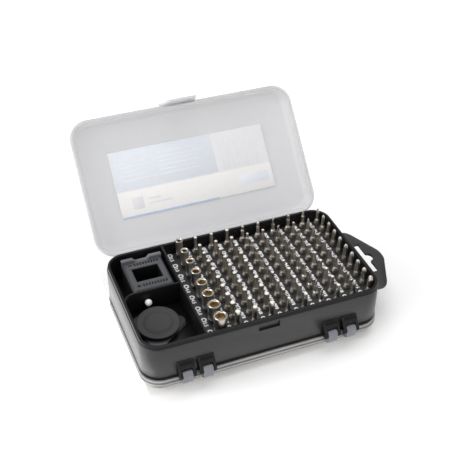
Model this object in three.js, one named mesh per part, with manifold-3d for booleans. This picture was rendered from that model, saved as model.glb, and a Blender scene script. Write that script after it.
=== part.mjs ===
// Precision screwdriver set in a two-sided case. Millimetres, +Z up, X along the long side.
// The origin is the centre of the footprint, on the underside of the closed bottom lid.
import * as THREE from 'three';
import { mergeVertices } from 'three/addons/utils/BufferGeometryUtils.js';
import Module from 'manifold-3d';

const wasm = await Module();
wasm.setup();

// ---- driving dimensions -------------------------------------------------------------
// case body
const CASE_LENGTH = 175;
const CASE_WIDTH = 100.8;
const CASE_CORNER = 13.5;
const BODY_HEIGHT = 31.1;
const WALL = 2.0;
const LIP_HEIGHT = 3.0;
const LIP_STEP = 0.7;
const FLOOR_BELOW_RIM = 22.4;
const FLOOR_THICK = 2.0;
const DIVIDER_THICK = 1.6;
const LEFT_BAY = 40.7;
const FRONT_BAY = 53.6;
const FRONT_BAY_BELOW_RIM = 18.3;
const DIVIDER_BEND = 7.7;
const TOUCH_GAP = 0.3;
// lids
const LID_DEPTH = 13.0;
const LID_WALL = 1.4;
const BEAD_OVERHANG = 1.5;
const BEAD_HEIGHT = 4.5;
const SKIRT_INSET = 2.5;
const SKIRT_DEPTH = 9.4;
const HIP_INSET = 9.5;
const HIP_DEPTH = 11.2;
const PANEL_INSET = 25.3;
const LID_OPENING = 132.5;
const LABEL_THICK = 0.4;
// hinges
const HINGE_SPACING = 106.8;
const HINGE_WIDTH = 26;
const EAR_THICK = 2.0;
const KNUCKLE_WIDTH = 7.0;
const BARREL_RADIUS = 2.8;
const PIN_RADIUS = 1.2;
const FRONT_PIN_OUT = 5.0;
const FRONT_PIN_FROM_EDGE = 4.7;
const BACK_PIN_OUT = 2.9;
const BACK_PIN_FROM_EDGE = 5.3;
const HOOD_FROM_EDGE = 14.0;
const SWING_GAP = 0.6;
// latches
const LATCH_WIDTH = 22;
const LATCH_THICK = 1.8;
const LATCH_REACH = 8.5;
const LATCH_SLOT_WIDTH = 15.4;
const LATCH_SLOT_TOP = 4.1;
const LATCH_SLOT_HEIGHT = 5.2;
const LATCH_SLOT_DEPTH = 1.6;
// hanging tab
const TAB_REACH = 28;
const TAB_WIDTH = 68;
const TAB_THICK = 2.0;
const TAB_BELOW_RIM = 16.6;
const TAB_SLOT_LENGTH = 33.2;
const TAB_SLOT_WIDTH = 3.8;
const TAB_SLOT_FROM_WALL = 11.7;
const TAB_HOOK_RADIUS = 4.5;
// bits, sockets and their deck
const BIT_FLAT = 4.0;
const BIT_LENGTH = 28;
const BIT_SHANK = 17.3;
const BIT_ROWS = 10;
const BIT_COLUMNS = 9;
const ROW_PITCH = 9.416;
const COLUMN_PITCH = 12.46;
const LAST_COLUMN_FROM_WALL = 5.5;
const SOCKET_COUNT = 8;
const SOCKET_PITCH = 12.22;
const SOCKET_LENGTH = 28.4;
const SOCKET_HEAD = 12.5;
const SOCKET_FIRST_DIAMETER = 5.4;
const SOCKET_LAST_DIAMETER = 9.4;
const SOCKET_FIRST_HEX = 2.5;
const SOCKET_LAST_HEX = 6.0;
const SOCKET_BORE = 4.0;
const DECK_BELOW_RIM = 9.0;
const DECK_THICK = 6.0;
const DECK_CLEARANCE = 0.3;
const HOLE_CLEARANCE = 0.25;
const POST_RADIUS = 2.4;
// magnetizer
const MAGNETIZER_LENGTH = 34.5;
const MAGNETIZER_WIDTH = 30;
const MAGNETIZER_HEIGHT = 19.0;
const MAGNETIZER_WALL = 5.5;
const MAGNETIZER_LUG = 2.6;
const MAGNETIZER_LUG_THICK = 3.2;
const MAGNETIZER_NOTCH = 8;
const MAGNETIZER_FRONT_BAR = 10.7;
const MAGNETIZER_BACK_BAR = 9.5;
const MAGNETIZER_EDGE = 1.5;
const MAGNETIZER_FROM_DIVIDER = 1.8;
const MAGNETIZER_FROM_CROSS_WALL = 2.7;
const MAGNET_FROM_END = 2.2;
const MAGNET_WIDTH = 16;
const MAGNET_THICK = 5;
const MAGNET_HEIGHT = 12;
// suction cup, picks and eject pin
const CUP_DIAMETER = 30.4;
const CUP_HEIGHT = 3.9;
const CUP_TILT = 6;
const PICK_REACH = 20;
const PICK_TIP_RADIUS = 5;
const PICK_THICK = 0.8;
const PICK_TURN = 5;
const PICK_FORWARD = 0.8;
const EJECT_BALL_DIAMETER = 5.2;
const EJECT_SHANK_DIAMETER = 1.4;
const EJECT_LENGTH = 14.3;
const CUP_FROM_LEFT = 17.8;
const CUP_FROM_FRONT = 32.2;
const EJECT_FROM_LEFT = 16.8;
// tools under the floor
const GRIP_LENGTH = 82;
const GRIP_DIAMETER = 15;
const COLLAR_LENGTH = 20;
const COLLAR_DIAMETER = 9.5;
const CAP_LENGTH = 10;
const FLEX_LENGTH = 108;
const FLEX_DIAMETER = 6.5;
const FLEX_END_LENGTH = 16;
const EXTENSION_LENGTH = 60;
const EXTENSION_DIAMETER = 6;
const TWEEZERS_LENGTH = 112;
const TWEEZERS_WIDTH = 8;
const TWEEZERS_SHEET = 1.0;
const TWEEZERS_OPENING = 6;
const SPUDGER_LENGTH = 88;
const SPUDGER_WIDTH = 8;
const SPUDGER_THICK = 3;
const TOOL_CLEARANCE = 0.4;
const RIB_THICK = 1.8;
const RIB_PLACES = [-28, 20];
// how far each tool lies behind the middle line, and where its left end is
const DRIVER_ROW = -33;
const DRIVER_LEFT = -66;
const FLEX_ROW = -19.5;
const FLEX_LEFT = -64;
const EXTENSION_ROW = -10;
const EXTENSION_LEFT = -30;
const TWEEZERS_ROW = 1;
const TWEEZERS_LEFT = -58;
const SPUDGER_ROWS = [13, 24, 35];
const SPUDGER_LEFT = -44;
const CAP_GAP = 3;
const CAP_SPIGOT_RADIUS = 2;
const CAP_SPIGOT_REACH = 4;
const GRIP_BAND = 20;
const GRIP_FRONT_BAND = 26;
const COLLAR_TAIL = 7;
const BIT_SEAT_DEPTH = 12;
const COUPLING_SEAT_DEPTH = 9;
const COUPLING_CLEARANCE = 0.3;

// ---- levels and places worked out from the driving dimensions -------------------------
const bottomEdge = LID_DEPTH;
const rimTop = bottomEdge + BODY_HEIGHT;
const closedHeight = rimTop + LID_DEPTH;
const halfLength = CASE_LENGTH / 2;
const halfWidth = CASE_WIDTH / 2;
const floorTop = rimTop - FLOOR_BELOW_RIM;
const floorBottom = floorTop - FLOOR_THICK;
const bayFloorTop = rimTop - FRONT_BAY_BELOW_RIM;
const insideLeft = -halfLength + WALL;
const insideFront = -halfWidth + WALL;
const dividerLeft = insideLeft + LEFT_BAY;
const dividerRight = dividerLeft + DIVIDER_THICK;
const crossFront = insideFront + FRONT_BAY;
const crossBack = crossFront + DIVIDER_THICK;
const deckTop = rimTop - DECK_BELOW_RIM;
const deckBottom = deckTop - DECK_THICK;
const lastColumn = halfLength - WALL - LAST_COLUMN_FROM_WALL;
const firstColumn = lastColumn - (BIT_COLUMNS - 1) * COLUMN_PITCH;
const socketColumn = firstColumn - COLUMN_PITCH;
const bitFoot = floorTop + TOUCH_GAP;
const sideOffset = LIP_STEP;

const bitX = (column) => firstColumn + column * COLUMN_PITCH;
const bitY = (row) => ((BIT_ROWS - 1) / 2 - row) * ROW_PITCH;
const socketY = (index) => ((SOCKET_COUNT - 1) / 2 - index) * SOCKET_PITCH;
const socketShare = (index) => index / (SOCKET_COUNT - 1);
const socketDiameter = (index) =>
  SOCKET_FIRST_DIAMETER + (SOCKET_LAST_DIAMETER - SOCKET_FIRST_DIAMETER) * socketShare(index);
const socketHex = (index) =>
  SOCKET_FIRST_HEX + (SOCKET_LAST_HEX - SOCKET_FIRST_HEX) * socketShare(index);
const acrossCorners = (flat) => flat / Math.cos(Math.PI / 6);

// ---- solids ----------------------------------------------------------------------------
const solid = (geometry) => {
  const bare = geometry.clone();
  bare.deleteAttribute('normal');
  bare.deleteAttribute('uv');
  const merged = mergeVertices(bare, 1e-4);
  return new wasm.Manifold(new wasm.Mesh({
    numProp: 3,
    vertProperties: new Float32Array(merged.attributes.position.array),
    triVerts: new Uint32Array(merged.index.array),
  }));
};

const geometryOf = (body) => {
  const mesh = body.getMesh();
  const geometry = new THREE.BufferGeometry();
  geometry.setAttribute('position', new THREE.BufferAttribute(new Float32Array(mesh.vertProperties), 3));
  geometry.setIndex(new THREE.BufferAttribute(new Uint32Array(mesh.triVerts), 1));
  geometry.computeVertexNormals();
  return geometry;
};

// A box given by its lowest and highest corners.
const block = (low, high) => {
  const size = high.map((value, axis) => value - low[axis]);
  const geometry = new THREE.BoxGeometry(...size);
  geometry.translate(...high.map((value, axis) => (value + low[axis]) / 2));
  return solid(geometry);
};

// A closed loft through rounded rectangles: each ring is [halfX, halfY, cornerRadius, z].
const CORNER_STEPS = 4;
const loft = (rings) => {
  const positions = [];
  for (const [halfX, halfY, radius, z] of rings) {
    for (const [signX, signY, start] of [[1, 1, 0], [-1, 1, 1], [-1, -1, 2], [1, -1, 3]]) {
      for (let step = 0; step <= CORNER_STEPS; step += 1) {
        const angle = (start + step / CORNER_STEPS) * Math.PI / 2;
        positions.push(
          signX * (halfX - radius) + radius * Math.cos(angle),
          signY * (halfY - radius) + radius * Math.sin(angle),
          z,
        );
      }
    }
  }
  const around = 4 * (CORNER_STEPS + 1);
  const index = [];
  for (let ring = 0; ring + 1 < rings.length; ring += 1) {
    for (let i = 0; i < around; i += 1) {
      const a = ring * around + i;
      const b = ring * around + (i + 1) % around;
      index.push(a, b, b + around, a, b + around, a + around);
    }
  }
  const top = (rings.length - 1) * around;
  for (let i = 1; i + 1 < around; i += 1) {
    index.push(0, i + 1, i, top, top + i, top + i + 1);
  }
  const geometry = new THREE.BufferGeometry();
  geometry.setAttribute('position', new THREE.Float32BufferAttribute(positions, 3));
  geometry.setIndex(index);
  return solid(geometry);
};

// A rounded rectangle of the case's own outline, grown by offset, as a ring at height z.
const caseRing = (offset, z) => [halfLength + offset, halfWidth + offset, CASE_CORNER + offset, z];

// An outline in the plane across the hinge, [outward, up] pairs, drawn out along X.
const acrossHinge = (outline, left, right) => {
  const shape = new THREE.Shape(outline.map(([out, up]) => new THREE.Vector2(-out, up)));
  const geometry = new THREE.ExtrudeGeometry(shape, { depth: right - left, bevelEnabled: false });
  geometry.applyMatrix4(new THREE.Matrix4().makeBasis(
    new THREE.Vector3(0, 1, 0), new THREE.Vector3(0, 0, 1), new THREE.Vector3(1, 0, 0),
  ));
  geometry.translate(left, 0, 0);
  return solid(geometry);
};

// A round bar along X.
const barX = (radius, left, right, y, z, sides = 16) => {
  const geometry = new THREE.CylinderGeometry(radius, radius, right - left, sides);
  geometry.rotateZ(-Math.PI / 2);
  geometry.translate((left + right) / 2, y, z);
  return solid(geometry);
};

// A turned body: profile of [radius, height] from the axis round to the axis.
const turned = (profile, sides) =>
  solid(new THREE.LatheGeometry(profile.map(([r, h]) => new THREE.Vector2(r, h)), sides)
    .rotateX(Math.PI / 2));

// A flat plate: an outline in X and Y drawn up from low to high.
const plate = (shape, low, high, curveSegments = 6) => {
  const geometry = new THREE.ExtrudeGeometry(shape, { depth: high - low, bevelEnabled: false, curveSegments });
  geometry.translate(0, 0, low);
  return solid(geometry);
};

const roundedPlateShape = (left, right, front, back, radius) => {
  const shape = new THREE.Shape();
  shape.absarc(right - radius, back - radius, radius, 0, Math.PI / 2, false);
  shape.absarc(left + radius, back - radius, radius, Math.PI / 2, Math.PI, false);
  shape.absarc(left + radius, front + radius, radius, Math.PI, 1.5 * Math.PI, false);
  shape.absarc(right - radius, front + radius, radius, 1.5 * Math.PI, 2 * Math.PI, false);
  return shape;
};

// A hexagonal prism standing on Z, flat to flat across X.
const hexPrism = (flat, low, high, x, y) => {
  const geometry = new THREE.CylinderGeometry(acrossCorners(flat) / 2, acrossCorners(flat) / 2, high - low, 6);
  geometry.rotateX(Math.PI / 2);
  geometry.translate(x, y, (low + high) / 2);
  return solid(geometry);
};

// The back of the case is the front turned half a turn about the long middle line.
const toBack = (body) => body.rotate([180, 0, 0]).translate([0, 0, closedHeight]);

// ---- hinges ------------------------------------------------------------------------------
// Both hinges are drawn at the front, under the body's lower edge; the back one is turned over.
const frontHinge = { out: FRONT_PIN_OUT, up: FRONT_PIN_FROM_EDGE };
const backHinge = { out: BACK_PIN_OUT, up: BACK_PIN_FROM_EDGE };
const pinY = (hinge) => -halfWidth - hinge.out;
const pinZ = (hinge) => bottomEdge + hinge.up;
const hingeCentres = [-HINGE_SPACING / 2, HINGE_SPACING / 2];
const swingRadius = BARREL_RADIUS + SWING_GAP;
const knuckleOuter = HINGE_WIDTH / 2 - EAR_THICK - TOUCH_GAP;
const knuckleInner = knuckleOuter - KNUCKLE_WIDTH;
const earInner = knuckleInner - TOUCH_GAP - EAR_THICK;

const barrelArc = (hinge, radius, fromAngle, toAngle, steps) =>
  Array.from({ length: steps + 1 }, (_, i) => {
    const angle = THREE.MathUtils.degToRad(fromAngle + (toAngle - fromAngle) * i / steps);
    return [halfWidth + hinge.out + radius * Math.cos(angle), pinZ(hinge) + radius * Math.sin(angle)];
  });

const hingeLugs = (hinge) => {
  const root = halfWidth - WALL / 2;
  const face = halfWidth + sideOffset;
  const hoodTop = bottomEdge + HOOD_FROM_EDGE;
  const earOutline = [
    [root, hoodTop], [face, hoodTop],
    ...barrelArc(hinge, BARREL_RADIUS, 40, -110, 7),
    [face, pinZ(hinge) - BARREL_RADIUS * 0.9], [root, pinZ(hinge) - BARREL_RADIUS * 0.9],
  ];
  const hoodEdge = halfWidth + Math.max(hinge.out - SWING_GAP, LIP_STEP + WALL / 2);
  const hoodOutline = [
    [root, hoodTop - 0.5], [face, hoodTop - 0.5],
    [hoodEdge, pinZ(hinge) + swingRadius + WALL], [hoodEdge, pinZ(hinge)], [root, pinZ(hinge)],
  ];
  let lugs = null;
  for (const centre of hingeCentres) {
    for (const side of [-1, 1]) {
      for (const inner of [HINGE_WIDTH / 2 - EAR_THICK, earInner]) {
        const left = centre + (side > 0 ? inner : -inner - EAR_THICK);
        const ear = acrossHinge(earOutline, left, left + EAR_THICK);
        lugs = lugs ? lugs.add(ear) : ear;
      }
      const spanLow = centre + (side > 0 ? earInner : -HINGE_WIDTH / 2);
      const spanHigh = centre + (side > 0 ? HINGE_WIDTH / 2 : -earInner);
      const hood = acrossHinge(hoodOutline, spanLow + EAR_THICK / 2, spanHigh - EAR_THICK / 2);
      lugs = lugs.add(hood.subtract(swingSpace(hinge, centre, side)));
    }
  }
  return lugs;
};

// The room that a lid knuckle needs round the pin.
const swingSpace = (hinge, centre, side) => {
  const low = centre + (side > 0 ? knuckleInner : -knuckleOuter) - TOUCH_GAP;
  return barX(swingRadius, low, low + KNUCKLE_WIDTH + 2 * TOUCH_GAP, pinY(hinge), pinZ(hinge));
};

const pinSpace = (hinge, centre, clearance) =>
  barX(PIN_RADIUS + clearance, centre - HINGE_WIDTH / 2 - 1, centre + HINGE_WIDTH / 2 + 1,
    pinY(hinge), pinZ(hinge), 12);

const hingePin = (hinge, centre) =>
  barX(PIN_RADIUS, centre - HINGE_WIDTH / 2 + TOUCH_GAP, centre + HINGE_WIDTH / 2 - TOUCH_GAP,
    pinY(hinge), pinZ(hinge), 12);

// ---- case body ---------------------------------------------------------------------------
const caseBody = () => {
  let body = loft([
    caseRing(0, bottomEdge), caseRing(0, bottomEdge + LIP_HEIGHT),
    caseRing(LIP_STEP, bottomEdge + LIP_HEIGHT), caseRing(LIP_STEP, rimTop - LIP_HEIGHT),
    caseRing(0, rimTop - LIP_HEIGHT), caseRing(0, rimTop),
  ]);
  body = body.add(hangingTab());
  body = body.subtract(loft([caseRing(-WALL, floorTop), caseRing(-WALL, rimTop + 1)]));
  body = body.subtract(loft([caseRing(-WALL, bottomEdge - 1), caseRing(-WALL, floorBottom)]));
  body = body.add(frontBayFloor()).add(longDivider()).add(crossDivider());
  body = body.subtract(ejectPinHole());
  body = body.add(deckPosts()).add(toolRibs());
  body = body.add(hingeLugs(frontHinge)).add(toBack(hingeLugs(backHinge)));
  for (const centre of hingeCentres) {
    for (const side of [-1, 1]) {
      body = body.subtract(swingSpace(frontHinge, centre, side));
      body = body.subtract(toBack(swingSpace(backHinge, centre, side)));
    }
    body = body.subtract(pinSpace(frontHinge, centre, TOUCH_GAP));
    body = body.subtract(toBack(pinSpace(backHinge, centre, TOUCH_GAP)));
  }
  return body.subtract(latchSlot()).subtract(toBack(latchSlot()));
};

// The raised floor under the suction cup, square at the dividers and round at the case corner.
const frontBayFloor = () => {
  const square = CASE_CORNER - WALL + 2;
  const bay = plate(
    roundedPlateShape(insideLeft, dividerRight, insideFront, crossBack, CASE_CORNER - WALL),
    floorBottom, bayFloorTop, 4);
  const corner = block([insideLeft - WALL / 2, crossBack - square, floorBottom],
    [insideLeft + square, crossBack, bayFloorTop]);
  const right = block([dividerRight - square, insideFront - WALL / 2, floorBottom],
    [dividerRight, insideFront + square, bayFloorTop]);
  const back = block([dividerRight - square, crossBack - square, floorBottom],
    [dividerRight, crossBack, bayFloorTop]);
  return bay.add(corner).add(right).add(back);
};

const longDivider = () =>
  block([dividerLeft, insideFront - WALL / 2, floorTop - FLOOR_THICK / 2],
    [dividerRight, -insideFront + WALL / 2, rimTop]);

// The short divider runs straight from the long one and bends forward at the left wall.
const crossDivider = () => {
  const bendX = insideLeft + DIVIDER_BEND;
  const shape = new THREE.Shape();
  shape.moveTo(dividerRight - DIVIDER_THICK / 2, crossFront);
  shape.lineTo(dividerRight - DIVIDER_THICK / 2, crossBack);
  shape.lineTo(bendX, crossBack);
  shape.absarc(bendX, crossFront - DIVIDER_BEND, DIVIDER_BEND + DIVIDER_THICK, Math.PI / 2, Math.PI * 0.97, false);
  shape.absarc(bendX, crossFront - DIVIDER_BEND, DIVIDER_BEND, Math.PI * 0.97, Math.PI / 2, true);
  return plate(shape, floorTop - FLOOR_THICK / 2, rimTop);
};

const ejectPinX = insideLeft + EJECT_FROM_LEFT;
const ejectPinY = crossFront - TOUCH_GAP - EJECT_BALL_DIAMETER / 2;
const ejectPinFoot = floorBottom + TOUCH_GAP + 1;
const ejectPinHole = () => {
  const bore = new THREE.CylinderGeometry(
    EJECT_SHANK_DIAMETER / 2 + TOUCH_GAP, EJECT_SHANK_DIAMETER / 2 + TOUCH_GAP, BODY_HEIGHT, 8);
  bore.rotateX(Math.PI / 2);
  bore.translate(ejectPinX, ejectPinY, ejectPinFoot - TOUCH_GAP + BODY_HEIGHT / 2);
  return solid(bore);
};

// Posts between the bits that carry the deck.
const deckPosts = () => {
  const places = [];
  for (const column of [0, 3, 6]) {
    for (const row of [1, 5, 9]) {
      places.push([bitX(column) + COLUMN_PITCH / 2, bitY(row) + ROW_PITCH / 2]);
    }
  }
  return places.map(([x, y]) => {
    const post = new THREE.CylinderGeometry(POST_RADIUS, POST_RADIUS, deckBottom - TOUCH_GAP - floorTop + 1, 8);
    post.rotateX(Math.PI / 2);
    post.translate(x, y, (deckBottom - TOUCH_GAP + floorTop - 1) / 2);
    return solid(post);
  }).reduce((all, post) => all.add(post));
};

// Blind pocket in the front wall for the top lid's latch.
const latchSlot = () =>
  block([-LATCH_SLOT_WIDTH / 2, -halfWidth - LIP_STEP - 1, rimTop - LATCH_SLOT_TOP - LATCH_SLOT_HEIGHT],
    [LATCH_SLOT_WIDTH / 2, -halfWidth - LIP_STEP + LATCH_SLOT_DEPTH, rimTop - LATCH_SLOT_TOP]);

const hangingTab = () => {
  const start = halfLength - WALL / 2;
  const end = halfLength + TAB_REACH;
  const half = TAB_WIDTH / 2;
  const shape = new THREE.Shape();
  shape.moveTo(start, -half);
  shape.lineTo(halfLength + TAB_REACH * 0.36, -half);
  shape.quadraticCurveTo(halfLength + TAB_REACH * 0.52, -half * 0.97, halfLength + TAB_REACH * 0.6, -half * 0.8);
  shape.lineTo(end - 1.6, -half * 0.17);
  shape.quadraticCurveTo(end, 0, end - 1.6, half * 0.17);
  shape.lineTo(halfLength + TAB_REACH * 0.6, half * 0.8);
  shape.quadraticCurveTo(halfLength + TAB_REACH * 0.52, half * 0.97, halfLength + TAB_REACH * 0.36, half);
  shape.lineTo(start, half);
  const slotLeft = halfLength + TAB_SLOT_FROM_WALL;
  const slotRight = slotLeft + TAB_SLOT_WIDTH;
  const hookCentre = slotRight - (TAB_HOOK_RADIUS - TAB_SLOT_WIDTH) - 0.1;
  const hookAngle = Math.acos((slotRight - hookCentre) / TAB_HOOK_RADIUS);
  const slot = new THREE.Path();
  slot.moveTo(slotLeft, -TAB_SLOT_LENGTH / 2);
  slot.lineTo(slotLeft, TAB_SLOT_LENGTH / 2);
  slot.lineTo(slotRight, TAB_SLOT_LENGTH / 2);
  slot.absarc(hookCentre, 0, TAB_HOOK_RADIUS, hookAngle, -hookAngle, true);
  slot.lineTo(slotRight, -TAB_SLOT_LENGTH / 2);
  shape.holes.push(slot);
  const top = rimTop - TAB_BELOW_RIM;
  return plate(shape, top - TAB_THICK, top, 5);
};

// ---- lids --------------------------------------------------------------------------------
// A lid is drawn as the closed bottom lid: bead at the top, panel on the table.
const lidRing = (inset, depth, radius) => {
  const reach = BEAD_OVERHANG - inset;
  return [halfLength + reach, halfWidth + reach, radius ?? CASE_CORNER + reach, bottomEdge - depth];
};

const lidShell = () => {
  const outside = [
    lidRing(PANEL_INSET, LID_DEPTH, 1), lidRing(HIP_INSET, HIP_DEPTH, 5),
    lidRing(SKIRT_INSET + 2, SKIRT_DEPTH + 1, 9.5), lidRing(SKIRT_INSET, SKIRT_DEPTH - 1.5),
    lidRing(SKIRT_INSET - 0.6, BEAD_HEIGHT), lidRing(0, BEAD_HEIGHT - 0.4), lidRing(0, TOUCH_GAP),
  ];
  const inside = [
    lidRing(PANEL_INSET, LID_DEPTH - LID_WALL, 1), lidRing(HIP_INSET + LID_WALL, HIP_DEPTH - LID_WALL - 0.2, 5),
    lidRing(SKIRT_INSET + 2 + LID_WALL, SKIRT_DEPTH - 0.2, 8.5),
    lidRing(SKIRT_INSET + LID_WALL, SKIRT_DEPTH - 2.5), lidRing(SKIRT_INSET + LID_WALL - 0.6, BEAD_HEIGHT - 1),
    lidRing(BEAD_OVERHANG + TOUCH_GAP, BEAD_HEIGHT - 1.6), lidRing(BEAD_OVERHANG + TOUCH_GAP, -1),
  ];
  return loft(outside).subtract(loft(inside));
};

const lidKnuckles = (hinge) => {
  const pin = halfWidth + hinge.out;
  const beadTop = bottomEdge - TOUCH_GAP;
  const footBottom = bottomEdge - BEAD_HEIGHT + 0.4;
  const footIn = halfWidth + BEAD_OVERHANG - 0.9;
  const strap = [
    [pin + BARREL_RADIUS, pinZ(hinge)], [pin - BARREL_RADIUS / 2, pinZ(hinge)],
    [pin - BARREL_RADIUS / 2, beadTop], [footIn, beadTop], [footIn, footBottom],
    [halfWidth + BEAD_OVERHANG, footBottom], [pin + BARREL_RADIUS, beadTop - 0.5],
  ];
  const knuckles = [];
  for (const centre of hingeCentres) {
    for (const side of [-1, 1]) {
      const low = centre + (side > 0 ? knuckleInner : -knuckleOuter);
      const ring = barX(BARREL_RADIUS, low, low + KNUCKLE_WIDTH, pinY(hinge), pinZ(hinge));
      knuckles.push(ring.add(acrossHinge(strap, low, low + KNUCKLE_WIDTH)));
    }
  }
  return knuckles.reduce((all, knuckle) => all.add(knuckle))
    .subtract(pinSpace(hinge, hingeCentres[0], TOUCH_GAP))
    .subtract(pinSpace(hinge, hingeCentres[1], TOUCH_GAP));
};

// The latch: a flange out from the free edge's bead and a tongue up over the wall.
const lidLatch = () => {
  const beadFace = halfWidth + BEAD_OVERHANG;
  const tongueIn = halfWidth + LIP_STEP + TOUCH_GAP;
  const flange = block([-LATCH_WIDTH / 2, beadFace - LID_WALL, bottomEdge - TOUCH_GAP - LATCH_THICK],
    [LATCH_WIDTH / 2, beadFace + LATCH_THICK, bottomEdge - TOUCH_GAP]);
  const tongue = block([-LATCH_WIDTH / 2, Math.max(tongueIn, beadFace), bottomEdge - TOUCH_GAP - LATCH_THICK],
    [LATCH_WIDTH / 2, Math.max(tongueIn, beadFace) + LATCH_THICK, bottomEdge + LATCH_REACH]);
  return flange.add(tongue);
};

const lid = (hinge) => lidShell().add(lidKnuckles(hinge)).add(lidLatch());

// ---- deck, bits and sockets ----------------------------------------------------------------
const bitDeck = () => {
  const right = halfLength - WALL - DECK_CLEARANCE;
  const side = halfWidth - WALL - DECK_CLEARANCE;
  const radius = CASE_CORNER - WALL - DECK_CLEARANCE;
  const left = dividerRight + DECK_CLEARANCE;
  const shape = new THREE.Shape();
  shape.moveTo(left, side);
  shape.lineTo(left, -side);
  shape.absarc(right - radius, -side + radius, radius, -Math.PI / 2, 0, false);
  shape.absarc(right - radius, side - radius, radius, 0, Math.PI / 2, false);
  const hexHole = (x, y) => hexPrism(BIT_FLAT + 2 * HOLE_CLEARANCE, deckBottom - 1, deckTop + 1, x, y);
  let deck = plate(shape, deckBottom, deckTop, 4);
  for (let column = 0; column < BIT_COLUMNS; column += 1) {
    for (let row = 0; row < BIT_ROWS; row += 1) deck = deck.subtract(hexHole(bitX(column), bitY(row)));
  }
  for (let index = 0; index < SOCKET_COUNT; index += 1) deck = deck.subtract(hexHole(socketColumn, socketY(index)));
  return deck;
};

// One bit: hexagonal shank, shoulder, slim shaft. It stands on its foot at the origin.
const bit = () => turned([
  [0, 0], [acrossCorners(BIT_FLAT) / 2, 0], [acrossCorners(BIT_FLAT) / 2, BIT_SHANK],
  [1.3, BIT_SHANK + 1.2], [0.9, BIT_LENGTH], [0, BIT_LENGTH],
], 6);

// A column of bits, joined by a thin foot rail that lies on the floor under the deck.
const bitColumn = () => {
  const rail = block([-BIT_FLAT / 4, bitY(BIT_ROWS - 1), 0], [BIT_FLAT / 4, bitY(0), FLOOR_THICK / 4]);
  let column = rail;
  for (let row = 0; row < BIT_ROWS; row += 1) column = column.add(bit().translate([0, bitY(row), 0]));
  return column;
};

const socket = (index) => {
  const radius = socketDiameter(index) / 2;
  const shank = acrossCorners(BIT_FLAT) / 2;
  const headFoot = SOCKET_LENGTH - SOCKET_HEAD;
  const body = turned([[0, headFoot - 1.5], [shank * 0.9, headFoot - 1.5], [radius, headFoot],
    [radius, SOCKET_LENGTH], [0, SOCKET_LENGTH]], 12);
  return body.add(hexPrism(BIT_FLAT, 0, headFoot, 0, 0))
    .subtract(hexPrism(socketHex(index), SOCKET_LENGTH - SOCKET_BORE, SOCKET_LENGTH + 1, 0, 0));
};

// ---- left bays -----------------------------------------------------------------------------
const magnetizerX = dividerLeft - MAGNETIZER_FROM_DIVIDER - MAGNETIZER_WIDTH / 2;
const magnetizerY = crossBack + MAGNETIZER_FROM_CROSS_WALL + MAGNETIZER_LENGTH / 2;
const magnetOffset = MAGNETIZER_LENGTH / 2 - MAGNET_FROM_END - MAGNET_THICK / 2;
const magnetizerCase = () => {
  const halfX = MAGNETIZER_WIDTH / 2;
  const halfY = MAGNETIZER_LENGTH / 2;
  let body = loft([
    [halfX, halfY, MAGNETIZER_EDGE, 0], [halfX, halfY, MAGNETIZER_EDGE, MAGNETIZER_HEIGHT - MAGNETIZER_EDGE],
    [halfX - 1.2, halfY - 1.2, MAGNETIZER_EDGE, MAGNETIZER_HEIGHT],
  ]);
  for (const side of [-1, 1]) {
    body = body.add(block(
      [side > 0 ? MAGNETIZER_NOTCH / 2 : -halfX, halfY - MAGNETIZER_LUG_THICK, MAGNETIZER_HEIGHT - 4],
      [side > 0 ? halfX : -MAGNETIZER_NOTCH / 2, halfY, MAGNETIZER_HEIGHT + MAGNETIZER_LUG]));
  }
  body = body.subtract(block([-halfX + MAGNETIZER_WALL, -halfY + MAGNETIZER_FRONT_BAR, -1],
    [halfX - MAGNETIZER_WALL, halfY - MAGNETIZER_BACK_BAR, MAGNETIZER_HEIGHT + 1]));
  for (const y of [-magnetOffset, magnetOffset]) {
    body = body.subtract(block(
      [-MAGNET_WIDTH / 2 - TOUCH_GAP, y - MAGNET_THICK / 2 - TOUCH_GAP, -1],
      [MAGNET_WIDTH / 2 + TOUCH_GAP, y + MAGNET_THICK / 2 + TOUCH_GAP, MAGNET_HEIGHT + 2 * TOUCH_GAP]));
  }
  return body;
};

const cupX = insideLeft + CUP_FROM_LEFT;
const cupY = insideFront + CUP_FROM_FRONT;
const suctionCup = () => turned([
  [0, 0], [6, 0], [7, 0.8], [CUP_DIAMETER / 2 - 1, CUP_HEIGHT - 1.4], [CUP_DIAMETER / 2, CUP_HEIGHT - 0.9],
  [CUP_DIAMETER / 2, CUP_HEIGHT - 0.2], [CUP_DIAMETER / 2 - 0.8, CUP_HEIGHT],
  [CUP_DIAMETER / 3, CUP_HEIGHT - 0.4], [0, CUP_HEIGHT - 0.7],
], 28);

// A three-cornered opening pick with bowed sides.
const openingPick = () => {
  const shape = new THREE.Shape();
  const centre = PICK_REACH - PICK_TIP_RADIUS;
  for (let corner = 0; corner < 3; corner += 1) {
    const direction = corner * 2 * Math.PI / 3;
    shape.absarc(centre * Math.cos(direction), centre * Math.sin(direction), PICK_TIP_RADIUS,
      direction - Math.PI / 3.4, direction + Math.PI / 3.4, false);
    const middle = direction + Math.PI / 3;
    shape.quadraticCurveTo(
      (PICK_REACH * 0.66) * Math.cos(middle), (PICK_REACH * 0.66) * Math.sin(middle),
      centre * Math.cos(direction + 2 * Math.PI / 3)
        + PICK_TIP_RADIUS * Math.cos(direction + 2 * Math.PI / 3 - Math.PI / 3.4),
      centre * Math.sin(direction + 2 * Math.PI / 3)
        + PICK_TIP_RADIUS * Math.sin(direction + 2 * Math.PI / 3 - Math.PI / 3.4));
  }
  return plate(shape, 0, PICK_THICK, 5);
};

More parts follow.
